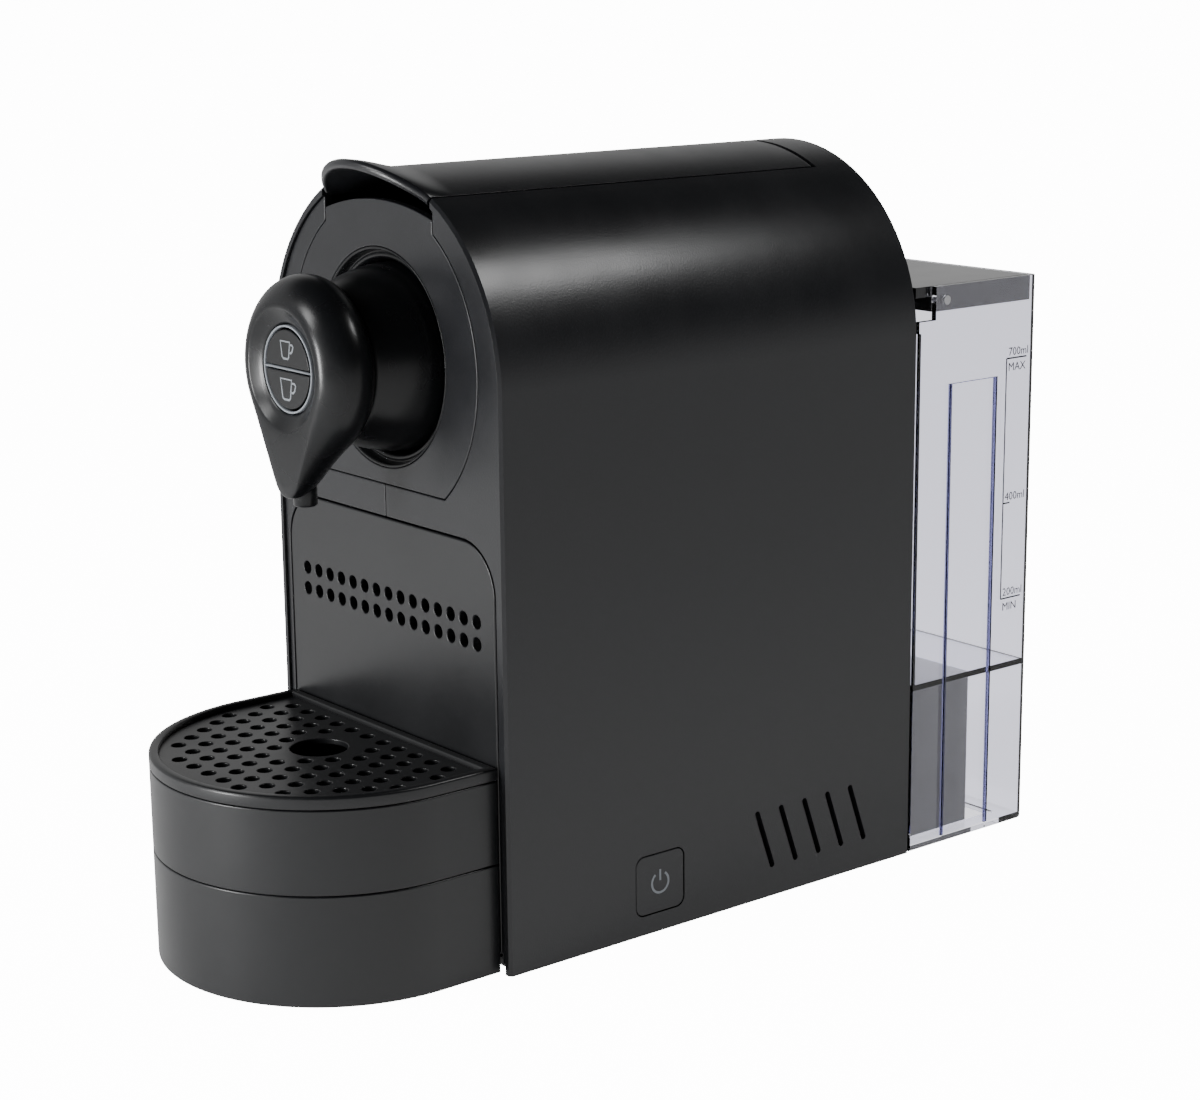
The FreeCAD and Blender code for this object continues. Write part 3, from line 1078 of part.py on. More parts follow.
def tank_lid():
    half = f"({HALF} - size.tank_wall - size.lid_gap)"
    wide = (f"-{half}", half)
    front = f"({TANK_FACE} + size.lid_front_gap)"
    skirt_front = f"({LID_PIN_Y} - size.ear_half - size.lid_wall)"
    back = f"({TANK_BACK} - size.tank_wall - size.lid_gap)"
    low = "(size.tank_top - size.lid_skirt)"
    under = "(size.tank_top - size.lid_plate)"
    plate = box("lid_plate_blank", wide, (front, back), (under, "size.tank_top"))
    skirt = box("lid_skirt_blank", wide, (skirt_front, back), (low, under))
    hollow = box("lid_hollow", (f"size.lid_wall - {half}", f"{half} - size.lid_wall"),
                 (f"{skirt_front} + size.lid_wall", f"{back} - size.lid_wall"), (low, under))
    ears = pair("lid_ear", f"{half} - size.ear_wide", half,
                (f"{LID_PIN_Y} - size.ear_half", f"{LID_PIN_Y} + size.ear_half"), (low, under))
    ear_low = f"{half} - size.ear_wide"
    bores = rod_pair("lid_pin_bore", ear_low, half, (LID_PIN_Y, "size.lid_pin_z"), "size.lid_pin_r")
    body_shape = fuse("lid_solid", plate, cut("lid_skirt_ring", skirt, hollow), *ears)
    keep(cut("tank_lid", body_shape, *bores), "tank_lid")
    pins = rod_pair("lid_pin", ear_low, f"{HALF} - size.frame_gap", (LID_PIN_Y, "size.lid_pin_z"),
                    "size.lid_pin_r")
    keep(group("lid_pins", *pins), "lid_pins")


def tank_valve():
    centre = ("0", OUTLET_Y)
    seat = f"({FLOOR_TOP} + size.frame_gap)"
    head_top = f"({seat} + size.tank_wall)"
    stem = rod("valve_stem", "z", f"{OUTLET_LOW} + size.gap", seat, centre, "size.valve_r")
    head = rod("valve_disc", "z", seat, head_top, centre, "size.valve_head")
    keep(fuse("valve_plunger", stem, head), "valve_plunger")
    cage_top = f"({FLOOR_TOP} + size.cage_high)"
    outer = rod("cage_outside", "z", FLOOR_TOP, cage_top, centre, "size.cage_r")
    room = rod("cage_inside", "z", FLOOR_TOP, f"{cage_top} - size.cage_wall", centre,
               "size.cage_r - size.cage_wall")
    third = "size.cage_r / 3"
    window_z = (f"{FLOOR_TOP} + size.tank_wall", f"{cage_top} - 2 * size.cage_wall")
    windows = [box("cage_window_x", ("-size.cage_r", "size.cage_r"),
                   (f"{OUTLET_Y} - {third}", f"{OUTLET_Y} + {third}"), window_z),
               box("cage_window_y", (f"-{third}", third),
                   (f"{OUTLET_Y} - size.cage_r", f"{OUTLET_Y} + size.cage_r"), window_z)]
    keep(cut("valve_cage", outer, room, *windows), "valve_cage")
    coil("valve_spring", "z", ("0", OUTLET_Y, head_top), "size.valve_spring_r",
         f"{cage_top} - size.cage_wall - {head_top}")


def tank_support():
    half = "size.support_half"
    y = (REAR, f"{REAR} + size.support_reach")
    roof = "(size.support_top - size.support_top_thick)"
    solid = box("support_blank", (f"-{half}", half), y, (SHELL_LOW, "size.support_top"))
    room = box("support_room", (f"size.wall - {half}", f"{half} - size.wall"),
               (REAR, f"{y[1]} - size.wall"), (SHELL_LOW, roof))
    centre = ("0", OUTLET_Y)
    socket = rod("support_socket", "z", SOCKET_FLOOR, "size.support_top", centre, "size.outlet_r + size.gap")
    drain = rod("support_drain", "z", roof, SOCKET_FLOOR, centre, "size.tube_r")
    keep(cut("tank_support", solid, room, socket, drain), "tank_support")
    seal_z = (SOCKET_FLOOR, f"{SOCKET_FLOOR} + size.seal_thick")
    keep(cut("inlet_seal", rod("seal_outside", "z", *seal_z, centre, "size.outlet_r"),
             rod("seal_inside", "z", *seal_z, centre, "size.seal_inner")), "inlet_seal")


# ---------------------------------------------------------------- build, check and write
def build():
    outer_shell()
    front_frame("front_frame_right", 1)
    front_frame("front_frame_left", -1)
    face_plate()
    nose_ring()
    nose_drum()
    nose_head()
    button_bezel()
    brew_button("espresso_button", 1)
    brew_button("lungo_button", -1)
    button_board()
    nozzle_and_duct()
    lever_cover()
    lever_drive()
    brewing_unit()
    inner_chassis()
    drawer()
    power_switchgear()
    base()
    water_path()
    electrics()
    tank_support()
    tank()
    tank_lid()
    tank_valve()


def write():
    doc.recompute()
    faults = [f"{obj.Label}: {obj.State}" for obj in doc.Objects
              if any(word in obj.State for word in ("Invalid", "Error"))]
    cutting = ("PartDesign::Pocket", "PartDesign::Groove", "PartDesign::SubtractiveLoft")
    faults += [f"{obj.Name}: cuts nothing" for obj in doc.Objects
               if obj.TypeId in cutting and obj.Shape.Volume > obj.BaseFeature.Shape.Volume - TINY]
    for node in nodes:
        if node.Shape.isNull() or not node.Shape.isValid():
            faults.append(f"{node.Label}: bad shape")
    if faults:
        raise RuntimeError("; ".join(faults))
    os.makedirs("parts", exist_ok=True)
    for node in nodes:
        node.Shape.exportStep(f"parts/{node.Label}.step")
        print(f"{node.Label}: {len(node.Shape.Solids)} solid, {node.Shape.Volume:.0f} mm3")


build()
write()
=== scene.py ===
import json
import math

import bmesh
import bpy
from bpy.props import FloatProperty, FloatVectorProperty, IntProperty, PointerProperty
from mathutils import Matrix, Vector


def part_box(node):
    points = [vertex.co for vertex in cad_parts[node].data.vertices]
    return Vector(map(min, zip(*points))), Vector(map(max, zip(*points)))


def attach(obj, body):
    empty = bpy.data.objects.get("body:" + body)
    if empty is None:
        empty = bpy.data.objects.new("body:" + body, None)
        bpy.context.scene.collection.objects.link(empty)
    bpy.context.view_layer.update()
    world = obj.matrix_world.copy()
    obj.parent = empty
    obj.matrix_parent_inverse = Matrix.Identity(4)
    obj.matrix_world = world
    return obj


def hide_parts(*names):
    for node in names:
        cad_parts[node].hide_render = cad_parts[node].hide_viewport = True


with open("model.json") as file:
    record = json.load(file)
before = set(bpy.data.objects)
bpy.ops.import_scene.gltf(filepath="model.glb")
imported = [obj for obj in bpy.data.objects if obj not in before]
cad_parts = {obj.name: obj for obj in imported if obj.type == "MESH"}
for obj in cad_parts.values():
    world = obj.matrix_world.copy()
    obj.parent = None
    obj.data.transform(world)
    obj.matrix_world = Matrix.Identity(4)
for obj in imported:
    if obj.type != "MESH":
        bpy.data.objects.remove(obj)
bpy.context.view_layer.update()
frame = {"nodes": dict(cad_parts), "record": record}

bl_info = {
    "name": "Pod coffee machine",
    "version": (1, 0, 0),
    "blender": (4, 5, 0),
    "location": "View3D > Sidebar > Coffee machine",
    "description": "Builds the visible pieces of an arched pod coffee machine on its packed frame",
    "category": "Object",
}

MM = 0.001

MERGE = 1e-7            # points of a drawn piece closer than this are one
COPY_MERGE = 2e-6       # the same for a copy of a frame node
FLAT_TURN = 0.6         # degrees: faces of a copy that turn by less are one face
PRINT_SINK = 0.06 * MM  # how far a printed face is drawn inside its frame shape
SEEN_GLOW = 14.0        # brightness of the studio where the camera looks straight at it
THROUGH_GLOW = 1.35     # brightness of the studio seen through the tank
LEFT_SHARE = 0.6        # the left softbox's power, as a share of the front one's


# ---------------------------------------------------------------- sizes and colours
def linear(code):
    """The linear RGBA of an sRGB hex colour."""
    parts = [int(code[i:i + 2], 16) / 255 for i in (1, 3, 5)]
    return tuple(c / 12.92 if c <= 0.04045 else ((c + 0.055) / 1.055) ** 2.4 for c in parts) + (1.0,)


def length(name, text, value):
    """A property that holds a length in metres."""
    return FloatProperty(name=name, description=text, default=value, unit="LENGTH", subtype="DISTANCE",
                         precision=5)


def colour(name, text, code):
    """A property that holds a colour."""
    return FloatVectorProperty(name=name, description=text, default=linear(code), size=4, min=0, max=1,
                               subtype="COLOR")


class CoffeeSizes(bpy.types.PropertyGroup):
    """Sizes of the shapes that the frame leaves plain."""
    edge: length("Edge", "Radius of the moulded pieces' edges", 0.45 * MM)
    seam_edge: length("Seam edge", "Radius of the edges along the thin seams", 0.4 * MM)
    lip_rise: length("Lip rise", "Height of the lever's lip over the arch", 3.2 * MM)
    lever_thick: length("Lever thickness", "Thickness of the lever's strip", 3.0 * MM)
    hole_pitch_x: length("Drain pitch across", "Distance between drain holes across the tray", 8.5 * MM)
    hole_pitch_y: length("Drain pitch along", "Distance between the rows of drain holes", 6.95 * MM)
    drain_hole: length("Drain hole", "Diameter of a drain hole", 4.5 * MM)
    cup_hole: length("Cup hole", "Diameter of the hole under the spout", 17.6 * MM)
    vent_pitch: length("Vent pitch", "Distance between the front panel's vent holes", 6.5 * MM)
    vent_hole: length("Vent hole", "Diameter of a vent hole", 4.0 * MM)
    stroke: length("Print stroke", "Width of the printed lines on the buttons", 0.6 * MM)
    print_thick: length("Print thickness", "Thickness of a printed mark", 0.04 * MM)


class CoffeeColours(bpy.types.PropertyGroup):
    """Colours of the finishes."""
    body: colour("Body", "Spark-textured housing", "#1b1c1f")
    nose: colour("Nose", "Smooth semi-gloss nose", "#121315")
    panel: colour("Panel", "Fine-textured front panel and tray", "#18191b")
    button: colour("Button", "Button caps", "#0e0f11")
    printing: colour("Printing", "Pad-printed marks and the button ring", "#8f949a")
    tank: colour("Tank", "Clear tank", "#f3f3fb")
    lid: colour("Lid", "Tank lid", "#17171a")
    floor: colour("Floor", "Studio floor", "#f4f4f4")


class CoffeeStage(bpy.types.PropertyGroup):
    """Camera and lights."""
    azimuth: FloatProperty(name="Azimuth", description="Camera's turn about the machine", unit="ROTATION",
                           subtype="ANGLE", default=math.radians(51.364))
    elevation: FloatProperty(name="Elevation", description="Camera's height angle", unit="ROTATION",
                             subtype="ANGLE", default=math.radians(13.19))
    roll: FloatProperty(name="Roll", description="Camera's roll", unit="ROTATION", subtype="ANGLE",
                        default=math.radians(-0.594))
    place: FloatVectorProperty(name="Place", description="Camera's place", unit="LENGTH",
                               subtype="TRANSLATION", default=(0.631794, -0.495015, 0.297396))
    lens: FloatProperty(name="Lens", description="Focal length in millimetres", default=77.02)
    key: FloatProperty(name="Key light", description="Power of the key softbox in watts", default=0.62)
    fill: FloatProperty(name="Fill light", description="Power of the front softbox in watts", default=6.5)
    world: FloatProperty(name="Ambient", description="Brightness of the studio around", default=0.02)
    floor_glow: FloatProperty(name="Floor glow", description="Light given off by the floor", default=0.55)


def sizes():
    return bpy.context.scene.coffee_sizes


def colours():
    return bpy.context.scene.coffee_colours


# ---------------------------------------------------------------- places from the frame
SHELL_LOW, SHELL_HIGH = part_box("outer_shell")
HALF = SHELL_HIGH.x
FRONT = SHELL_LOW.y
REAR = SHELL_HIGH.y
ARCH = SHELL_HIGH.z - HALF
RING_LOW, RING_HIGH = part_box("nose_ring")
BREW = (RING_LOW.z + RING_HIGH.z) / 2


# ---------------------------------------------------------------- shader nodes
def add(tree, kind, settings=None, links=None):
    """Add a node, set its properties and inputs, and link its inputs to other nodes' outputs."""
    made = tree.nodes.new(kind)
    for name, value in (settings or {}).items():
        if isinstance(name, int) or name in made.inputs:
            made.inputs[name].default_value = value
        else:
            setattr(made, name, value)
    for name, source in (links or {}).items():
        tree.links.new(source, made.inputs[name])
    return made


def blank(name):
    """A material and its emptied tree, or the material and None if it is already made."""
    material = bpy.data.materials.get(name)
    if material:
        return material, None
    material = bpy.data.materials.new(name)
    material.use_nodes = True
    material.node_tree.nodes.clear()
    return material, material.node_tree


def object_place(tree, stretch=(1, 1, 1)):
    """Object coordinates through a Mapping node."""
    source = add(tree, "ShaderNodeTexCoord")
    return add(tree, "ShaderNodeMapping", {"Scale": stretch}, {"Vector": source.outputs["Object"]}).outputs[0]


def noise(tree, vector, size, detail=2.0, rough=0.5):
    """A noise whose lumps are about a size in metres across."""
    return add(tree, "ShaderNodeTexNoise", {"Scale": 1 / size, "Detail": detail, "Roughness": rough},
               {"Vector": vector}).outputs["Fac"]


def spread(tree, factor, low, high):
    """The factor's middle range stretched between two values."""
    return add(tree, "ShaderNodeMapRange", {
        "From Min": 0.3, "From Max": 0.7, "To Min": low, "To Max": high},
        {"Value": factor}).outputs["Result"]


def tones(tree, factor, dark, light):
    """A colour between two, by a factor."""
    mix = add(tree, "ShaderNodeMix", {"data_type": "RGBA", 6: dark, 7: light}, {0: factor})
    return mix.outputs[2]


def scaled(tone, share):
    """A colour made lighter or darker by a share."""
    return tuple(min(1.0, c * share) for c in tone[:3]) + (1.0,)


def math_node(tree, operation, *values):
    """A Math node; each value is a number or another node's output."""
    made = add(tree, "ShaderNodeMath", {"operation": operation})
    for i, value in enumerate(values):
        if isinstance(value, (int, float)):
            made.inputs[i].default_value = value
        else:
            tree.links.new(value, made.inputs[i])
    return made.outputs[0]


def seen_glow(tree):
    """White where the camera looks straight at the studio, pale grey where it looks through the tank."""
    path = add(tree, "ShaderNodeLightPath").outputs
    return math_node(tree, "ADD", math_node(tree, "MULTIPLY", path["Is Camera Ray"], SEEN_GLOW),
                     math_node(tree, "MULTIPLY", path["Is Transmission Ray"], THROUGH_GLOW))


def moulded(name, tone, rough, grain, depth, ior=1.53, cloud=25 * MM, vary=0.03):
    """A moulded plastic: even colour with a faint cloudiness, and a cast-in grain."""
    material, tree = blank(name)
    if tree is None:
        return material
    place = object_place(tree)
    slow = noise(tree, place, cloud, 3.0)
    fine = noise(tree, place, grain, 2.0, 0.6)
    bump = add(tree, "ShaderNodeBump", {"Strength": 0.6, "Distance": depth}, {"Height": fine})
    shade = tones(tree, spread(tree, slow, 0.0, 1.0), scaled(tone, 0.9), scaled(tone, 1.12))
    surface = add(tree, "ShaderNodeBsdfPrincipled", {"IOR": ior}, {
        "Base Color": shade, "Roughness": spread(tree, slow, rough - vary, rough + vary),
        "Normal": bump.outputs[0]})
    add(tree, "ShaderNodeOutputMaterial", {}, {"Surface": surface.outputs[0]})
    return material


def drawn_metal(name, tone, rough, line, stretch):
    """A metal with fine lines along one axis."""
    material, tree = blank(name)
    if tree is None:
        return material
    place = object_place(tree, stretch)
    lines = noise(tree, place, line, 3.0, 0.7)
    bump = add(tree, "ShaderNodeBump", {"Strength": 0.4, "Distance": 0.01 * MM}, {"Height": lines})
    surface = add(tree, "ShaderNodeBsdfPrincipled", {"Metallic": 1.0}, {
        "Base Color": tones(tree, lines, scaled(tone, 0.9), scaled(tone, 1.08)),
        "Roughness": spread(tree, lines, rough - 0.06, rough + 0.06), "Normal": bump.outputs[0]})
    add(tree, "ShaderNodeOutputMaterial", {}, {"Surface": surface.outputs[0]})
    return material


def clear_plastic(name, tone, rough):
    """A clear moulding, with faint flow waves in its surface."""
    material, tree = blank(name)
    if tree is None:
        return material
    waves = noise(tree, object_place(tree), 18 * MM, 1.0)
    bump = add(tree, "ShaderNodeBump", {"Strength": 0.12, "Distance": 0.1 * MM}, {"Height": waves})
    surface = add(tree, "ShaderNodeBsdfPrincipled", {
        "Base Color": tone, "Transmission Weight": 1.0, "IOR": 1.46, "Roughness": rough},
        {"Normal": bump.outputs[0]})
    add(tree, "ShaderNodeOutputMaterial", {}, {"Surface": surface.outputs[0]})
    return material


def spark_abs():
    """Injection-moulded black ABS, spark-eroded mould: satin, with a sandy glitter in its highlights.
    The grain is drawn 0.55 mm across, about twice the real one, so that it shows."""
    return moulded("spark_eroded_black_abs", colours().body, 0.31, 0.55 * MM, 0.06 * MM)


def smooth_abs():
    """Moulded black ABS from a smooth mould: semi-gloss, with soft clear highlights."""
    return moulded("semi_gloss_black_abs", colours().nose, 0.28, 0.8 * MM, 0.006 * MM, 1.42)


def fine_abs():
    """Moulded black ABS with a fine even grain: satin, greyer than the housing under a soft light."""
    return moulded("fine_grain_black_abs", colours().panel, 0.33, 0.4 * MM, 0.02 * MM)


def button_abs():
    """Moulded black ABS from a polished mould with a light matting: smooth satin."""
    return moulded("matt_button_abs", colours().button, 0.32, 0.4 * MM, 0.006 * MM)


def lid_abs():
    """Moulded dark ABS lid: satin, and bright where it mirrors the room at a low angle."""
    return moulded("satin_lid_abs", colours().lid, 0.16, 0.6 * MM, 0.01 * MM)


def pad_print():
    """Pad-printed light grey ink: flat and even, a little chalky."""
    return moulded("pad_printed_grey_ink", colours().printing, 0.55, 0.3 * MM, 0.002 * MM, 1.45)


def scale_ink():
    """Screen-printed dark grey ink on the tank."""
    return moulded("screen_printed_dark_ink", linear("#0c0c10"), 0.5, 0.3 * MM, 0.002 * MM, 1.45)


def copolyester():
    """Injection-moulded clear copolyester: glassy, with a faint violet at its edges."""
    return clear_plastic("clear_moulded_copolyester", colours().tank, 0.03)


def edge_copolyester():
    """The same clear copolyester seen through its thicker edges: violet grey."""
    return clear_plastic("thick_copolyester_edges", linear("#7c7cae"), 0.08)


def filled_nylon():
    """Glass-filled nylon structure: dull, dark grey, with fibre mottling."""
    return moulded("glass_filled_nylon", linear("#3a3a3c"), 0.55, 0.6 * MM, 0.03 * MM, 1.53, 8 * MM, 0.06)


def foot_rubber():
    """Soft moulded rubber: matt and dark."""
    return moulded("moulded_black_rubber", linear("#1c1c1c"), 0.75, 0.5 * MM, 0.02 * MM, 1.52)


def red_silicone():
    """Moulded food-grade silicone seal: soft satin brick red."""
    return moulded("moulded_red_silicone", linear("#a1382f"), 0.5, 0.6 * MM, 0.01 * MM, 1.41)


def milky_silicone():
    """Extruded silicone hose: milky white with a waxy shine."""
    return moulded("extruded_silicone_hose", linear("#dadbd8"), 0.4, 1.5 * MM, 0.01 * MM, 1.41)


def stainless():
    """Drawn stainless steel pins, links and springs: fine lines along X."""
    return drawn_metal("drawn_stainless_steel", linear("#c4c4c6"), 0.28, 0.25 * MM, (0.05, 1, 1))


def cast_aluminium():
    """Gravity-cast aluminium heater: bright grey, sandy."""
    return drawn_metal("cast_aluminium", linear("#b9babc"), 0.45, 0.7 * MM, (1, 1, 1))


def circuit_board():
    """Glass-epoxy board under green solder mask: smooth, slightly woven."""
    return moulded("green_solder_mask", linear("#14532d"), 0.35, 0.9 * MM, 0.01 * MM, 1.55)


FINISHES = {
    "black_satin": spark_abs, "nose_black": smooth_abs, "panel_black": fine_abs, "button_black": button_abs,
    "bezel_grey": pad_print, "tank_clear": copolyester, "lid_grey": lid_abs, "inner_plastic": filled_nylon,
    "foot_rubber": foot_rubber, "seal_rubber": red_silicone, "tube_silicone": milky_silicone,
    "steel": stainless, "heater_alloy": cast_aluminium, "board_green": circuit_board,
}


# ---------------------------------------------------------------- mesh helpers
def solid(name, points, faces):
    """An object from points and faces: doubles merged, faces outward, smooth."""
    mesh = bpy.data.meshes.new(name)
    mesh.from_pydata([tuple(p) for p in points], [], faces)
    tidy(mesh)
    return put(name, mesh)


def put(name, mesh):
    made = bpy.data.objects.new(name, mesh)
    bpy.context.scene.collection.objects.link(made)
    return made


def tidy(mesh):
    """Merge a mesh's doubles, turn its faces outward and shade them smooth."""
    work = bmesh.new()
    work.from_mesh(mesh)
    bmesh.ops.remove_doubles(work, verts=work.verts, dist=MERGE)
    bmesh.ops.recalc_face_normals(work, faces=work.faces)
    for face in work.faces:
        face.smooth = True
    work.to_mesh(mesh)
    work.free()


def skin(name, loops, ring=False):
    """A surface over equal loops of points, with flat ends, or joined end to start for a ring."""
    count = len(loops[0])
    points = [p for loop in loops for p in loop]
    faces = []
    spans = len(loops) if ring else len(loops) - 1
    for i in range(spans):
        here = i * count
        there = (i + 1) % len(loops) * count
        for k in range(count):
            nxt = (k + 1) % count
            faces.append((here + k, here + nxt, there + nxt, there + k))
    if not ring:
        faces.append(tuple(range(count)))
        faces.append(tuple(range((len(loops) - 1) * count, len(loops) * count)))
    return solid(name, points, faces)


def lathe(name, profile, centre, steps=128):
    """A closed profile of (y, radius) turned about an axis along Y."""
    loops = []
    for i in range(steps):
        angle = 2 * math.pi * i / steps
        loops.append([Vector((centre.x + r * math.sin(angle), y, centre.z + r * math.cos(angle)))
                      for y, r in profile])
    return skin(name, loops, ring=True)


def arc(centre, radius, first, last, steps):
    """Points on an arc in a plane; angles in degrees."""
    turns = [math.radians(first + (last - first) * i / steps) for i in range(steps + 1)]
    return [(centre[0] + radius * math.cos(t), centre[1] + radius * math.sin(t)) for t in turns]


def prism(name, outline, low, high, lift):
    """An outline given a thickness; lift turns a plane point and a level into a place."""
    loops = [[lift(a, b, level) for a, b in outline] for level in (low, high)]
    return skin(name, loops)


def on_floor(a, b, level):
    return Vector((a, b, level))


def on_front(a, b, level):
    return Vector((a, level, b))


def on_side(a, b, level):
    return Vector((level, a, b))


def round_edges(piece, width, segments=3, angle=35):
    """Round every edge that turns by more than an angle."""
    bevel = piece.modifiers.new("edges", "BEVEL")
    bevel.width = width
    bevel.segments = segments
    bevel.limit_method = "ANGLE"
    bevel.angle_limit = math.radians(angle)
    bevel.use_clamp_overlap = True
    bevel.harden_normals = True
    even = piece.modifiers.new("shading", "WEIGHTED_NORMAL")
    even.keep_sharp = True
    return piece


def copy_of(node, name):
    """A copy of a frame node's mesh with its flat faces made whole again."""
    mesh = frame["nodes"][node].data.copy()
    mesh.name = name
    work = bmesh.new()
    work.from_mesh(mesh)
    bmesh.ops.remove_doubles(work, verts=work.verts, dist=COPY_MERGE)
    bmesh.ops.dissolve_limit(work, angle_limit=math.radians(FLAT_TURN), verts=work.verts,
                             edges=work.edges)
    for face in work.faces:
        face.smooth = True
    work.to_mesh(mesh)
    work.free()
    return put(name, mesh)


def dress(piece, body, slot, material, *nodes):
    """Give a piece its finish and its place on a body, in the stead of frame nodes."""
    piece.data.materials.clear()
    piece.data.materials.append(material)
    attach(piece, body)
    if nodes:
        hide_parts(*nodes)
    return piece


def soft_copy(node, name, body, slot, width):
    """A frame node with rounded edges, in its slot's finish."""
    piece = round_edges(copy_of(node, name), width)
    return dress(piece, body, slot, FINISHES[slot](), node)


def ribbon(points, width, closed=False):
    """The two sides of a line of plane points drawn with a width, as an outline of quads."""
    count = len(points)
    left = []
    right = []
    for i, here in enumerate(points):
        before = points[i - 1] if i or closed else here
        after = points[(i + 1) % count] if i < count - 1 or closed else here
        along = Vector((after[0] - before[0], after[1] - before[1])).normalized()
        side = Vector((-along.y, along.x)) * width / 2
        left.append((here[0] + side.x, here[1] + side.y))
        right.append((here[0] - side.x, here[1] - side.y))
    return left, right


def strokes(name, lines, width, low, high, lift):
    """Raised printed lines: each is (points, closed), drawn with a width between two levels."""
    points = []
    faces = []
    for line, closed in lines:
        left, right = ribbon(line, width, closed)
        count = len(left)
        base = len(points)
        for a, b in zip(left, right):
            points += [lift(*a, low), lift(*b, low), lift(*b, high), lift(*a, high)]
        spans = count if closed else count - 1
        for i in range(spans):
            here = base + 4 * i
            there = base + 4 * ((i + 1) % count)
            for k in range(4):
                nxt = (k + 1) % 4
                faces.append((here + k, here + nxt, there + nxt, there + k))
        if not closed:
            last = base + 4 * (count - 1)
            faces += [(base, base + 1, base + 2, base + 3), (last, last + 1, last + 2, last + 3)]
    made = solid(name, points, faces)
    for face in made.data.polygons:
        face.use_smooth = False
    return made


# ---------------------------------------------------------------- repeated holes
def socket(tree, name, kind, value=None, out=False):
    """A named input or output of a Geometry Nodes tree."""
    made = tree.interface.new_socket(name, in_out="OUTPUT" if out else "INPUT", socket_type=kind)
    if value is not None:
        made.default_value = value
    return made


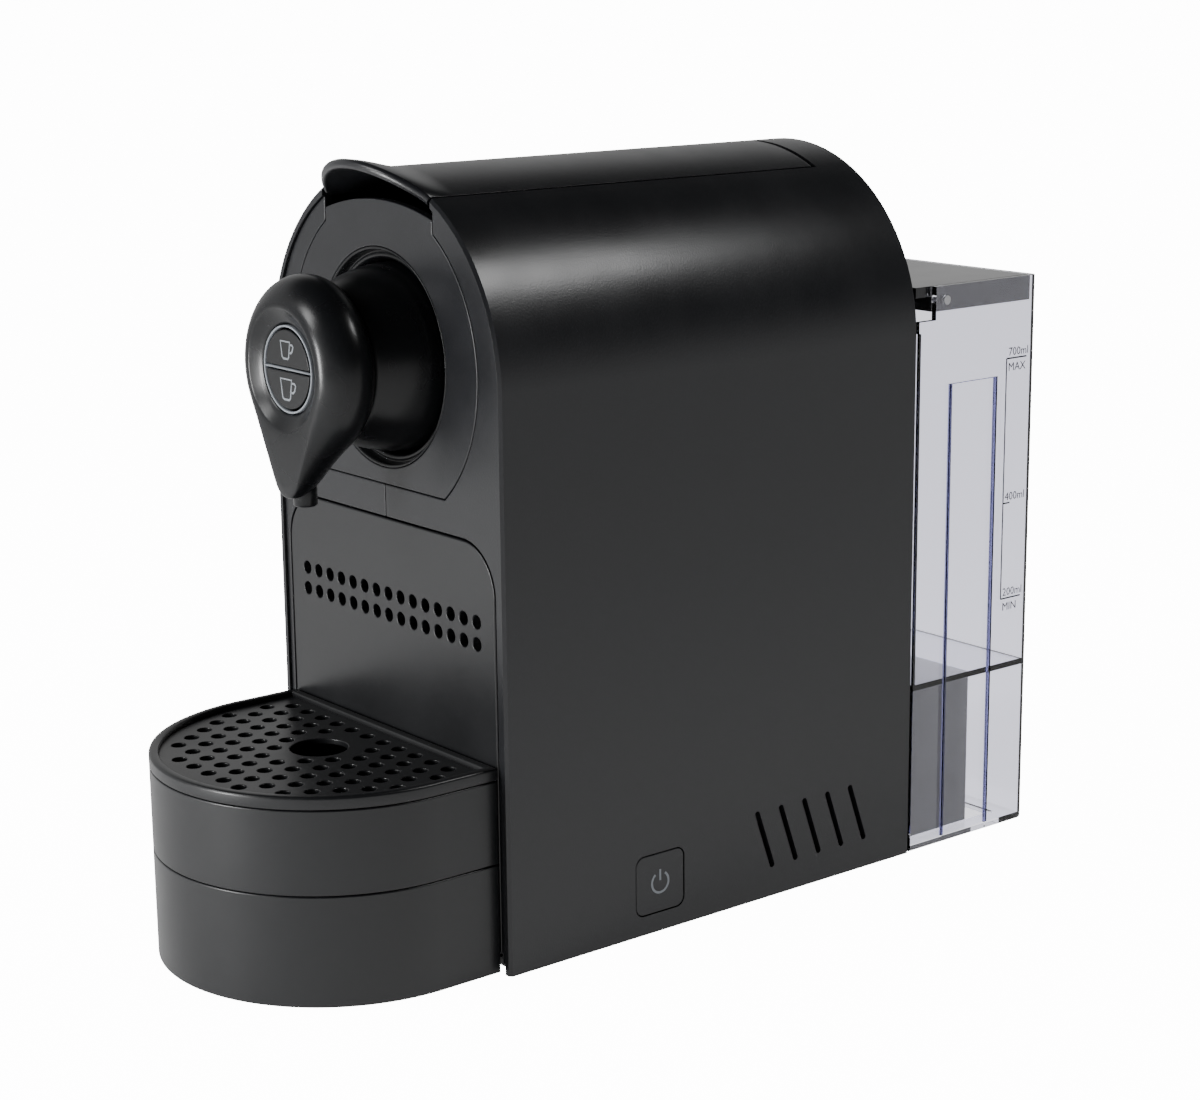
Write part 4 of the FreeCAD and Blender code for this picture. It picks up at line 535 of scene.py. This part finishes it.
def hole_tree():
    """Rows of round holes through a plate: a grid of points, every other row shifted, kept inside a
    half-round edge and clear of one larger hole, drilled through the plate."""
    tree = bpy.data.node_groups.get("drilled_rows")
    if tree:
        return tree
    tree = bpy.data.node_groups.new("drilled_rows", "GeometryNodeTree")
    for title, kind, value in (
            ("Plate", "Geometry", None), ("Columns", "Int", 15), ("Rows", "Int", 2),
            ("Pitch across", "Float", 0.0065), ("Pitch along", "Float", 0.0067), ("Shift", "Float", 0.0),
            ("Hole", "Float", 0.004), ("Depth", "Float", 0.02), ("Place", "Vector", None),
            ("Turn", "Rotation", None), ("Edge radius", "Float", 1.0), ("Edge centre", "Float", 0.0),
            ("Big hole", "Float", 0.0), ("Big hole at", "Float", 0.0), ("Finish", "Material", None)):
        socket(tree, title, f"NodeSocket{kind}", value)
    socket(tree, "Plate", "NodeSocketGeometry", out=True)

    def calc(operation, *values):
        return math_node(tree, operation, *values)

    def distance(a, b):
        return calc("SQRT", calc("ADD", calc("POWER", a, 2.0), calc("POWER", b, 2.0)))

    given = add(tree, "NodeGroupInput").outputs
    wide = calc("MULTIPLY", calc("SUBTRACT", given["Columns"], 1.0), given["Pitch across"])
    tall = calc("MULTIPLY", calc("SUBTRACT", given["Rows"], 1.0), given["Pitch along"])
    grid = add(tree, "GeometryNodeMeshGrid", {}, {
        "Size X": wide, "Size Y": tall, "Vertices X": given["Columns"], "Vertices Y": given["Rows"]})
    place = add(tree, "GeometryNodeInputPosition")
    split = add(tree, "ShaderNodeSeparateXYZ", {}, {"Vector": place.outputs[0]})
    up = calc("ADD", split.outputs["Y"], calc("MULTIPLY", tall, 0.5))
    row = calc("ROUND", calc("DIVIDE", up, given["Pitch along"]))
    odd = calc("FLOORED_MODULO", row, 2.0)
    shift = add(tree, "ShaderNodeCombineXYZ", {}, {"X": calc("MULTIPLY", odd, given["Shift"])})
    moved = add(tree, "GeometryNodeSetPosition", {}, {
        "Geometry": grid.outputs["Mesh"], "Offset": shift.outputs[0]})
    past = calc("MAXIMUM", calc("SUBTRACT", given["Edge centre"], split.outputs["Y"]), 0.0)
    beyond = calc("GREATER_THAN", distance(split.outputs["X"], past), given["Edge radius"])
    off = calc("SUBTRACT", split.outputs["Y"], given["Big hole at"])
    clear_share = 0.56
    room = calc("MULTIPLY", calc("ADD", given["Big hole"], given["Hole"]), clear_share)
    close = calc("MULTIPLY", calc("LESS_THAN", distance(split.outputs["X"], off), room),
                 calc("GREATER_THAN", given["Big hole"], 0.0))
    kept = add(tree, "GeometryNodeDeleteGeometry", {"domain": "POINT"}, {
        "Geometry": moved.outputs[0], "Selection": calc("ADD", beyond, close)})
    drill = add(tree, "GeometryNodeMeshCylinder", {"Vertices": 24}, {
        "Radius": calc("MULTIPLY", given["Hole"], 0.5), "Depth": given["Depth"]})
    drills = add(tree, "GeometryNodeInstanceOnPoints", {}, {
        "Points": kept.outputs[0], "Instance": drill.outputs["Mesh"]})
    big = add(tree, "GeometryNodeMeshCylinder", {"Vertices": 64}, {
        "Radius": calc("MULTIPLY", given["Big hole"], 0.5), "Depth": given["Depth"]})
    at = add(tree, "ShaderNodeCombineXYZ", {}, {"Y": given["Big hole at"]})
    big_placed = add(tree, "GeometryNodeTransform", {}, {
        "Geometry": big.outputs["Mesh"], "Translation": at.outputs[0]})
    some = add(tree, "GeometryNodeSwitch", {"input_type": "GEOMETRY"}, {
        "Switch": calc("GREATER_THAN", given["Big hole"], 0.0), "True": big_placed.outputs[0]})
    both = add(tree, "GeometryNodeJoinGeometry", {}, {"Geometry": drills.outputs[0]})
    tree.links.new(some.outputs[0], both.inputs["Geometry"])
    placed = add(tree, "GeometryNodeTransform", {}, {
        "Geometry": both.outputs[0], "Translation": given["Place"], "Rotation": given["Turn"]})
    real = add(tree, "GeometryNodeRealizeInstances", {}, {"Geometry": placed.outputs[0]})
    cut = add(tree, "GeometryNodeMeshBoolean", {"operation": "DIFFERENCE", "solver": "EXACT"}, {
        "Mesh 1": given["Plate"], "Mesh 2": real.outputs[0]})
    whole = add(tree, "GeometryNodeRealizeInstances", {}, {"Geometry": cut.outputs["Mesh"]})
    painted = add(tree, "GeometryNodeSetMaterial", {}, {
        "Geometry": whole.outputs[0], "Material": given["Finish"]})
    add(tree, "NodeGroupOutput", {}, {"Plate": painted.outputs[0]})
    return tree


def drilled(name, blank_plate, values):
    """The blank plate with its holes, as a plain mesh."""
    tree = hole_tree()
    modifier = blank_plate.modifiers.new("holes", "NODES")
    modifier.node_group = tree
    names = {item.name: item.identifier for item in tree.interface.items_tree
             if item.item_type == "SOCKET" and item.in_out == "INPUT"}
    for title, value in values.items():
        modifier[names[title]] = value
    view = bpy.context.evaluated_depsgraph_get()
    mesh = bpy.data.meshes.new_from_object(blank_plate.evaluated_get(view))
    mesh.name = name
    bpy.data.objects.remove(blank_plate)
    work = bmesh.new()
    work.from_mesh(mesh)
    for face in work.faces:
        face.smooth = True
    work.to_mesh(mesh)
    work.free()
    return put(name, mesh)


# ---------------------------------------------------------------- operators
class CoffeeOperator(bpy.types.Operator):
    """What the operators share."""
    bl_options = {"REGISTER", "UNDO"}

    def execute(self, context):
        self.make()
        return {"FINISHED"}


class COFFEE_OT_housing(CoffeeOperator):
    """Arched shell, front frame, face plate, rear panel and tank support"""
    bl_idname = "coffee.housing"
    bl_label = "Housing"

    def make(self):
        edge = sizes().edge
        seam = sizes().seam_edge
        for node, name, width in (
                ("outer_shell", "arched_shell", edge), ("front_frame_right", "frame_right", seam),
                ("front_frame_left", "frame_left", seam), ("face_plate", "nose_plate", seam),
                ("rear_panel", "back_wall", seam), ("tank_support", "tank_block", edge)):
            soft_copy(node, name, "housing", "black_satin", width)


class COFFEE_OT_lever(CoffeeOperator):
    """Lever strip with its visor-shaped lip"""
    bl_idname = "coffee.lever"
    bl_label = "Lever"

    def make(self):
        low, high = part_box("lever_cover")
        half = high.x
        rear = high.y
        reach = FRONT - low.y
        start = FRONT + reach
        nose = (half ** 2 + reach ** 2) / (2 * reach)
        thick = sizes().lever_thick
        half_steps, flat_steps, lip_steps, tip_steps = 32, 12, 15, 8
        loops = []
        for i in range(2 * half_steps + 1):
            share = -1 + i / half_steps
            x = half * share
            tilt = math.asin(x / HALF)
            rise = sizes().lip_rise * max(0.0, 1 - share ** 2) ** 0.6
            tip = low.y + nose - math.sqrt(nose ** 2 - x ** 2)
            run = start - tip
            loop = []

            def at(y, height):
                radius = HALF + height
                loop.append(Vector((radius * math.sin(tilt), y, ARCH + radius * math.cos(tilt))))

            at(rear, -thick)
            at(rear, -0.6 * MM)
            at(rear - 0.3 * MM, -0.15 * MM)
            at(rear - 0.9 * MM, 0.0)
            for k in range(flat_steps):
                at(rear - (rear - start) * (k + 1) / flat_steps, 0.0)
            for k in range(1, lip_steps):
                t = k / lip_steps
                at(start - run * t, rise * (3 * t ** 2 - 2 * t ** 3))
            round_r = thick * 0.5
            for k in range(tip_steps + 1):
                turn = math.radians(90 - 180 * k / tip_steps)
                at(tip + round_r - round_r * math.cos(turn), rise - round_r + round_r * math.sin(turn))
            for k in range(1, lip_steps):
                t = 1 - k / lip_steps
                at(start - run * t, rise * (3 * t ** 2 - 2 * t ** 3) - thick)
            for k in range(flat_steps):
                at(start + (rear - start) * k / flat_steps, -thick)
            loops.append(loop)
        strip = skin("lever_strip", loops)
        round_edges(strip, 0.35 * MM, 3, 40)
        dress(strip, "lever", "black_satin", spark_abs(), "lever_cover")


class COFFEE_OT_nose(CoffeeOperator):
    """Collar ring, drum, drop-shaped head and spout nozzle"""
    bl_idname = "coffee.nose"
    bl_label = "Nose"

    def make(self):
        axis = Vector((0, 0, BREW))
        ring_r = RING_HIGH.x
        face = RING_LOW.y
        ring = lathe("collar_ring", [
            (face, ring_r), (face, ring_r - 0.5 * MM), (face + 0.3 * MM, ring_r - 0.8 * MM),
            (face + 2.6 * MM, ring_r - 1.2 * MM), (face + 3.2 * MM, ring_r - 1.5 * MM),
            (face + 2.5 * MM, ring_r - 2.0 * MM), (face + 2.2 * MM, ring_r - 2.6 * MM),
            (face + 2.5 * MM, ring_r - 3.2 * MM), (face + 3.4 * MM, ring_r - 3.7 * MM),
            (face + 5.6 * MM, ring_r - 4.2 * MM),
            (RING_HIGH.y, ring_r - 4.2 * MM), (RING_HIGH.y, ring_r)], axis)
        dress(ring, "housing", "nose_black", smooth_abs(), "nose_ring")

        head_low, head_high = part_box("nose_head")
        drum_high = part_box("nose_drum")[1]
        drum_r = drum_high.x
        deep = drum_high.y
        neck = head_high.y
        run = deep - neck
        flare = 6.3 * MM
        wall = 2.5 * MM
        outer = [(neck + run * t, drum_r - flare * (1 - t) ** 2.2) for t in [i / 14 for i in range(15)]]
        inner = [(y, r - wall) for y, r in reversed(outer)]
        drum = lathe("flared_drum", outer + inner, axis)
        dress(drum, "housing", "nose_black", smooth_abs(), "nose_drum")

        dish_r = 18.4 * MM
        cap_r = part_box("button_bezel")[1].x
        front = head_low.y
        depth = neck - front
        # Share of the depth, then in millimetres: large radius, drop to the tip, small radius.
        stations = [
            (0.00, 20.5, 21.0, 9.0), (0.00, 21.6, 22.6, 9.0), (0.03, 23.2, 24.8, 9.0),
            (0.10, 24.9, 27.0, 8.8), (0.22, 26.4, 30.0, 8.4), (0.38, 27.3, 33.4, 8.0),
            (0.54, 27.2, 36.0, 7.7), (0.70, 26.2, 37.6, 7.4), (0.83, 24.4, 38.3, 7.2),
            (0.93, 22.2, 38.3, 6.9), (0.985, 20.5, 37.9, 6.6), (1.00, 19.2, 37.3, 6.2)]
        loops = [drop_loop(neck - depth * share, big * MM, drop * MM, tip * MM)
                 for share, big, drop, tip in stations]
        last = stations[-1]
        lean = math.asin((last[1] - last[3]) / (last[2] - last[3]))
        for y, radius in ((front, dish_r), (front + 0.1 * MM, dish_r - 0.35 * MM),
                          (front + 0.45 * MM, dish_r - 0.8 * MM), (front + 1.9 * MM, cap_r + 2.2 * MM),
                          (front + 2.35 * MM, cap_r + 1.3 * MM),
                          (front + 2.5 * MM, cap_r + 0.02 * MM), (front + 10.0 * MM, cap_r + 0.02 * MM)):
            loops.append(round_loop(y, radius, lean))
        head = skin("drop_head", loops)
        smooth = head.modifiers.new("smooth", "SUBSURF")
        smooth.levels = 1
        smooth.render_levels = 1
        dress(head, "housing", "nose_black", smooth_abs(), "nose_head")

        low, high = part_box("spout_nozzle")
        middle = (low + high) / 2
        outer_r = (high.x - low.x) / 2
        profile = [(low.z, outer_r - 1.5 * MM), (low.z, outer_r - 0.4 * MM), (low.z + 0.4 * MM, outer_r),
                   (high.z, outer_r), (high.z, outer_r - 1.8 * MM), (low.z + 0.3 * MM, outer_r - 1.8 * MM)]
        loops = []
        for i in range(48):
            turn = 2 * math.pi * i / 48
            loops.append([Vector((middle.x + r * math.cos(turn), middle.y + r * math.sin(turn), z))
                          for z, r in profile])
        nozzle = skin("coffee_nozzle", loops, ring=True)
        dress(nozzle, "housing", "nose_black", smooth_abs(), "spout_nozzle")


ARC_STEPS = 56
SIDE_STEPS = 10
TIP_STEPS = 10


def drop_loop(y, big, drop, small):
    """A drop-shaped loop: a large arc, two straight sides and a small arc at the tip."""
    lean = math.asin((big - small) / (drop - small))
    tip = BREW - drop + small
    right = -lean
    points = []
    for i in range(ARC_STEPS + 1):
        turn = right + (math.pi + 2 * lean) * i / ARC_STEPS
        points.append(Vector((big * math.cos(turn), y, BREW + big * math.sin(turn))))
    left_foot = Vector((-small * math.cos(lean), y, tip - small * math.sin(lean)))
    left_top = points[-1]
    points += [left_top.lerp(left_foot, (i + 1) / (SIDE_STEPS + 1)) for i in range(SIDE_STEPS)]
    for i in range(TIP_STEPS + 1):
        turn = math.pi + lean + (math.pi - 2 * lean) * i / TIP_STEPS
        points.append(Vector((small * math.cos(turn), y, tip + small * math.sin(turn))))
    right_foot = points[-1]
    right_top = points[0]
    points += [right_foot.lerp(right_top, (i + 1) / (SIDE_STEPS + 1)) for i in range(SIDE_STEPS)]
    return points


def round_loop(y, radius, lean):
    """A round loop whose points match the drop-shaped loops'."""
    points = []
    for i in range(ARC_STEPS + 1):
        turn = -lean + (math.pi + 2 * lean) * i / ARC_STEPS
        points.append(Vector((radius * math.cos(turn), y, BREW + radius * math.sin(turn))))
    rest = 2 * SIDE_STEPS + TIP_STEPS + 1
    span = math.pi - 2 * lean
    for i in range(rest):
        turn = math.pi + lean + span * (i + 1) / (rest + 1)
        points.append(Vector((radius * math.cos(turn), y, BREW + radius * math.sin(turn))))
    return points


class COFFEE_OT_buttons(CoffeeOperator):
    """Two half-moon coffee buttons, their light ring and the printed cups"""
    bl_idname = "coffee.buttons"
    bl_label = "Coffee buttons"

    def make(self):
        axis = Vector((0, 0, BREW))
        low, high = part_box("button_bezel")
        outer_r = high.x
        bar_half = 0.2 * MM
        ring_wide = 0.5 * MM
        inner_r = outer_r - ring_wide
        front = low.y
        ring = lathe("button_ring", [
            (front + 0.15 * MM, outer_r), (front, outer_r - 0.1 * MM), (front, inner_r),
            (front + 0.15 * MM, inner_r - 0.1 * MM), (high.y, inner_r - 0.1 * MM), (high.y, outer_r)], axis)
        bar = prism("button_bar", [(-inner_r, BREW - bar_half), (inner_r, BREW - bar_half),
                                   (inner_r, BREW + bar_half), (-inner_r, BREW + bar_half)],
                    front, high.y, on_front)
        dress(ring, "housing", "bezel_grey", pad_print(), "button_bezel")
        dress(bar, "housing", "bezel_grey", pad_print())
        for node, body, side, share, big in (("espresso_button", "espresso_cap", 1, 0.52, 0.84),
                                             ("lungo_button", "lungo_cap", -1, 0.55, 1.0)):
            soft_copy(node, f"{node}_cap", body, "button_black", 0.25 * MM)
            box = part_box(node)
            middle = BREW + side * (box[1].z - box[0].z) * share
            scale = big * MM
            cup = [(-3.9, 3.0), (2.1, 3.0), (1.2, -2.4), (0.6, -3.0), (-2.4, -3.0), (-3.0, -2.4)]
            handle = [(2.0, 2.1), (3.7, 2.1), (4.2, 1.5), (3.6, 0.0), (2.8, -0.7), (1.6, -0.7)]
            lines = [([(x * scale, middle + z * scale) for x, z in cup], True),
                     ([(x * scale, middle + z * scale) for x, z in handle], False)]
            face = box[0].y
            icon = strokes(f"{node}_print", lines, sizes().stroke, face - sizes().print_thick,
                           face + 0.1 * MM, on_front)
            dress(icon, body, "bezel_grey", pad_print())


class COFFEE_OT_drawer(CoffeeOperator):
    """Drawer panel with its two rows of vents, tray, tray base, rim and drain grid"""
    bl_idname = "coffee.drawer"
    bl_label = "Drawer and tray"

    def make(self):
        size = sizes()
        low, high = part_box("drawer_panel")
        half = high.x
        corner = 15 * MM
        outline = [(-half, low.z), (half, low.z)]
        outline += arc((half - corner, high.z - corner), corner, 0, 90, 16)
        outline += arc((corner - half, high.z - corner), corner, 90, 180, 16)
        plate = prism("panel_blank", outline, low.y, high.y, on_front)
        row_low = 100.3 * MM
        row_step = 6.7 * MM
        panel = drilled("vented_panel", plate, {
            "Columns": 15, "Rows": 2, "Pitch across": size.vent_pitch, "Pitch along": row_step,
            "Hole": size.vent_hole, "Depth": 20 * MM, "Turn": (math.radians(90), 0, 0),
            "Place": (0, (low.y + high.y) / 2, row_low + row_step / 2), "Finish": fine_abs()})
        round_edges(panel, size.seam_edge, 2, 40)
        dress(panel, "drawer", "panel_black", fine_abs(), "drawer_panel")
        soft_copy("tray_base", "tray_foot", "drawer", "panel_black", size.edge)
        soft_copy("drip_tray", "drip_tub", "drip_tray", "panel_black", size.edge)
        self.grid(size)

    def grid(self, size):
        low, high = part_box("drip_grid")
        half = high.x
        back = high.y
        arc_y = low.y + half
        rim = 3.0 * MM
        sink = 1.6 * MM
        thick = 1.8 * MM

        def edge(inset):
            rear = back - inset
            line = [(half - inset, rear)]
            line += arc((0, arc_y), half - inset, 0, -180, 72)
            line += [(-half + inset, rear)]
            return line

        section = [(0.0, low.z + 0.25 * MM), (0.25 * MM, low.z), (rim, low.z), (rim, high.z - sink),
                   (rim, high.z - 0.5 * MM), (rim - 0.5 * MM, high.z), (0.9 * MM, high.z),
                   (0.25 * MM, high.z - 0.3 * MM), (0.0, high.z - 0.9 * MM)]
        loops = []
        for inset, level in section:
            loops.append([on_floor(x, y, level) for x, y in edge(inset)])
        frame_piece = skin("grid_rim", loops, ring=True)
        round_edges(frame_piece, 0.2 * MM, 2, 50)
        dress(frame_piece, "drip_grid", "panel_black", fine_abs())

        top = high.z - sink
        blank_plate = prism("grid_blank", edge(rim - 0.1 * MM), top - thick, top, on_floor)
        rear_row = FRONT - 8.4 * MM
        rows = 11
        middle_y = rear_row - size.hole_pitch_y * (rows - 1) / 2
        cup_y = FRONT - 25.8 * MM
        plate = drilled("drain_plate", blank_plate, {
            "Columns": 13, "Rows": rows, "Pitch across": size.hole_pitch_x, "Pitch along": size.hole_pitch_y,
            "Shift": size.hole_pitch_x / 2, "Hole": size.drain_hole, "Depth": 10 * MM,
            "Place": (0, middle_y, top), "Edge radius": half - rim - size.drain_hole / 2 - 1.0 * MM,
            "Edge centre": arc_y - middle_y, "Big hole": size.cup_hole, "Big hole at": cup_y - middle_y,
            "Finish": fine_abs()})
        round_edges(plate, 0.3 * MM, 2, 50)
        dress(plate, "drip_grid", "panel_black", fine_abs(), "drip_grid")


class COFFEE_OT_power(CoffeeOperator):
    """Power button with its printed symbol"""
    bl_idname = "coffee.power"
    bl_label = "Power button"

    def make(self):
        low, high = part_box("power_button")
        middle_y = (low.y + high.y) / 2
        middle_z = (low.z + high.z) / 2
        cap = copy_of("power_button", "power_cap_face")
        cap.data.transform(Matrix.Translation((-PRINT_SINK, 0, 0)))
        round_edges(cap, 0.4 * MM)
        dress(cap, "power_cap", "black_satin", spark_abs(), "power_button")
        radius = 3.3 * MM
        circle = arc((middle_y, middle_z), radius, 125, 415, 40)
        bar = [(middle_y, middle_z + 0.6 * MM), (middle_y, middle_z + 4.2 * MM)]
        face = high.x - PRINT_SINK
        symbol = strokes("power_print", [(circle, False), (bar, False)], 0.75 * MM, face - 0.1 * MM,
                         face + sizes().print_thick, on_side)
        dress(symbol, "power_cap", "bezel_grey", pad_print())


class COFFEE_OT_tank(CoffeeOperator):
    """Clear water tank, its valve cage, side-wall ridges, printed scale and lid"""
    bl_idname = "coffee.tank"
    bl_label = "Water tank"

    def make(self):
        tank = copy_of("water_tank", "clear_tank")
        outside = HALF - PRINT_SINK
        narrow = outside / HALF
        tank.data.transform(Matrix.Diagonal((narrow, 1, 1, 1)))
        round_edges(tank, 0.5 * MM, 3, 35)
        dress(tank, "tank", "tank_clear", copolyester(), "water_tank")
        soft_copy("valve_cage", "clear_cage", "tank", "tank_clear", 0.2 * MM)
        soft_copy("tank_lid", "lid_cover", "tank_lid", "lid_grey", sizes().edge)
        self.panel_edges(outside)
        self.scale(outside)

    def panel_edges(self, outside):
        """Moulded ridges round the raised panel of each side wall."""
        front = REAR + 15.6 * MM
        back = front + 21.4 * MM
        foot = 4.0 * MM
        top = 158.5 * MM
        line = [(front, foot), (front, top), (back, top), (back, foot)]
        for name, side in (("right", 1), ("left", -1)):
            ridge = strokes(f"panel_edge_{name}", [(line, False)], 1.3 * MM, side * (outside - 1.0 * MM),
                            side * outside, on_side)
            dress(ridge, "tank", "tank_clear", edge_copolyester())

    def scale(self, outside):
        """Volume marks up one side."""
        line_y = REAR + 41.8 * MM
        tick = 3.2 * MM
        levels = {"700ml": 164.0 * MM, "400ml": 115.0 * MM, "200ml": 82.0 * MM}
        low = outside - 0.05 * MM
        high = outside + sizes().print_thick
        lines = [([(line_y, min(levels.values())), (line_y, max(levels.values()))], False)]
        lines += [([(line_y, z), (line_y + (tick if text == "400ml" else 3 * tick), z)], False)
                  for text, z in levels.items()]
        marks = strokes("tank_scale", lines, 0.5 * MM, low, high, on_side)
        dress(marks, "tank", "bezel_grey", scale_ink())
        words = [(text, line_y + 0.8 * MM, z + 0.9 * MM) for text, z in levels.items()]
        words += [("MAX", line_y + 0.8 * MM, levels["700ml"] - 4.2 * MM),
                  ("MIN", line_y + 0.8 * MM, levels["200ml"] - 4.2 * MM)]
        for i, (text, y, z) in enumerate(words):
            self.word(f"tank_number_{i}", text, y, z, high)

    def word(self, name, text, y, z, x):
        """A few printed letters on the side wall, as a plain mesh."""
        curve = bpy.data.curves.new(name, "FONT")
        curve.body = text
        curve.size = 3.9 * MM
        half_thick = 0.02 * MM
        curve.extrude = half_thick
        curve.resolution_u = 2
        source = bpy.data.objects.new(name, curve)
        bpy.context.scene.collection.objects.link(source)
        view = bpy.context.evaluated_depsgraph_get()
        mesh = bpy.data.meshes.new_from_object(source.evaluated_get(view))
        bpy.data.objects.remove(source)
        turn = Matrix(((0, 0, 1, x - half_thick), (1, 0, 0, y), (0, 1, 0, z), (0, 0, 0, 1)))
        mesh.transform(turn)
        dress(put(name, mesh), "tank", "bezel_grey", scale_ink())


class COFFEE_OT_inside(CoffeeOperator):
    """Finishes of the pieces that keep their frame shape"""
    bl_idname = "coffee.inside"
    bl_label = "Inner pieces"

    def make(self):
        slots = {item["node"]: item["material_slot"] for item in frame["record"]["subparts"]}
        for node, piece in frame["nodes"].items():
            for place in piece.material_slots:
                place.material = FINISHES[slots[node]]()


class COFFEE_OT_stage(CoffeeOperator):
    """Pale floor, studio light and camera"""
    bl_idname = "coffee.stage"
    bl_label = "Stage"

    def make(self):
        stage = bpy.context.scene.coffee_stage
        self.floor(stage)
        self.studio(stage)
        self.softbox("key_softbox", (0.257, 0.195, 0.503), (0.04, -0.07, 0.22), 0.10, 0.10, stage.key)
        self.softbox("front_softbox", (-0.15, -0.93, 0.17), (0.01, -0.14, 0.05), 0.06, 0.30, stage.fill)
        self.softbox("left_softbox", (-0.30, -0.95, 0.75), (0.0, -0.08, 0.18), 0.30, 0.30,
                     LEFT_SHARE * stage.fill)
        self.camera(stage)

    def floor(self, stage):
        material, tree = blank("pale_matt_floor")
        place = object_place(tree)
        shade = tones(tree, noise(tree, place, 0.2), scaled(colours().floor, 0.99), colours().floor)
        glow = math_node(tree, "MAXIMUM", seen_glow(tree), stage.floor_glow)
        surface = add(tree, "ShaderNodeBsdfPrincipled", {"Roughness": 0.9, "Emission Color": (1, 1, 1, 1)},
                      {"Base Color": shade, "Emission Strength": glow})
        add(tree, "ShaderNodeOutputMaterial", {}, {"Surface": surface.outputs[0]})
        wide = 6.0
        floor = solid("floor", [(-wide, -wide, 0), (wide, -wide, 0), (wide, wide, 0), (-wide, wide, 0)],
                      [(0, 1, 2, 3)])
        floor.data.materials.append(material)

    def studio(self, stage):
        world = bpy.data.worlds.new("studio")
        world.use_nodes = True
        tree = world.node_tree
        tree.nodes.clear()
        ray = add(tree, "ShaderNodeTexCoord").outputs["Generated"]
        aim = add(tree, "ShaderNodeSeparateXYZ", {}, {"Vector": ray})
        lean = math_node(tree, "MULTIPLY_ADD", aim.outputs["X"], 0.35, aim.outputs["Z"])
        walls = add(tree, "ShaderNodeMapRange", {
            "From Min": 0.22, "From Max": 0.45, "To Min": 0.6, "To Max": stage.world}, {"Value": lean})
        glow = math_node(tree, "MAXIMUM", walls.outputs["Result"], seen_glow(tree))
        back = add(tree, "ShaderNodeBackground", {"Color": (1.0, 1.0, 1.0, 1.0)}, {"Strength": glow})
        add(tree, "ShaderNodeOutputWorld", {}, {"Surface": back.outputs[0]})
        bpy.context.scene.world = world

    def softbox(self, name, place, target, wide, tall, power):
        data = bpy.data.lights.new(name, "AREA")
        data.shape = "RECTANGLE"
        data.size = wide
        data.size_y = tall
        data.energy = power
        lamp = bpy.data.objects.new(name, data)
        lamp.location = place
        lamp.rotation_euler = (Vector(target) - Vector(place)).to_track_quat("-Z", "Y").to_euler()
        bpy.context.scene.collection.objects.link(lamp)

    def camera(self, stage):
        data = bpy.data.cameras.new("camera")
        data.sensor_width = 36.0
        data.lens = stage.lens
        data.clip_start = 0.01
        a, e, r = stage.azimuth, stage.elevation, stage.roll
        back = Vector((math.sin(a) * math.cos(e), -math.cos(a) * math.cos(e), math.sin(e)))
        level = Vector((0, 0, 1)).cross(back).normalized()
        up = back.cross(level)
        right = level * math.cos(r) + up * math.sin(r)
        top = up * math.cos(r) - level * math.sin(r)
        view = Matrix((right, top, back)).transposed().to_4x4()
        view.translation = Vector(stage.place)
        camera = bpy.data.objects.new("camera", data)
        camera.matrix_world = view
        bpy.context.scene.collection.objects.link(camera)
        bpy.context.scene.camera = camera


OPERATORS = (COFFEE_OT_housing, COFFEE_OT_lever, COFFEE_OT_nose, COFFEE_OT_buttons, COFFEE_OT_drawer,
             COFFEE_OT_power, COFFEE_OT_tank, COFFEE_OT_inside, COFFEE_OT_stage)


class COFFEE_PT_panel(bpy.types.Panel):
    """Lists the machine's pieces"""
    bl_label = "Coffee machine"
    bl_idname = "COFFEE_PT_panel"
    bl_space_type = "VIEW_3D"
    bl_region_type = "UI"
    bl_category = "Coffee machine"

    def draw(self, context):
        for operator in OPERATORS:
            self.layout.operator(operator.bl_idname)


CLASSES = (CoffeeSizes, CoffeeColours, CoffeeStage) + OPERATORS + (COFFEE_PT_panel,)


def register():
    for item in CLASSES:
        bpy.utils.register_class(item)
    bpy.types.Scene.coffee_sizes = PointerProperty(type=CoffeeSizes)
    bpy.types.Scene.coffee_colours = PointerProperty(type=CoffeeColours)
    bpy.types.Scene.coffee_stage = PointerProperty(type=CoffeeStage)


def unregister():
    del bpy.types.Scene.coffee_stage
    del bpy.types.Scene.coffee_colours
    del bpy.types.Scene.coffee_sizes
    for item in reversed(CLASSES):
        bpy.utils.unregister_class(item)


def main():
    register()
    for operator in OPERATORS:
        group, name = operator.bl_idname.split(".")
        getattr(getattr(bpy.ops, group), name)()


if __name__ == "__main__":
    main()
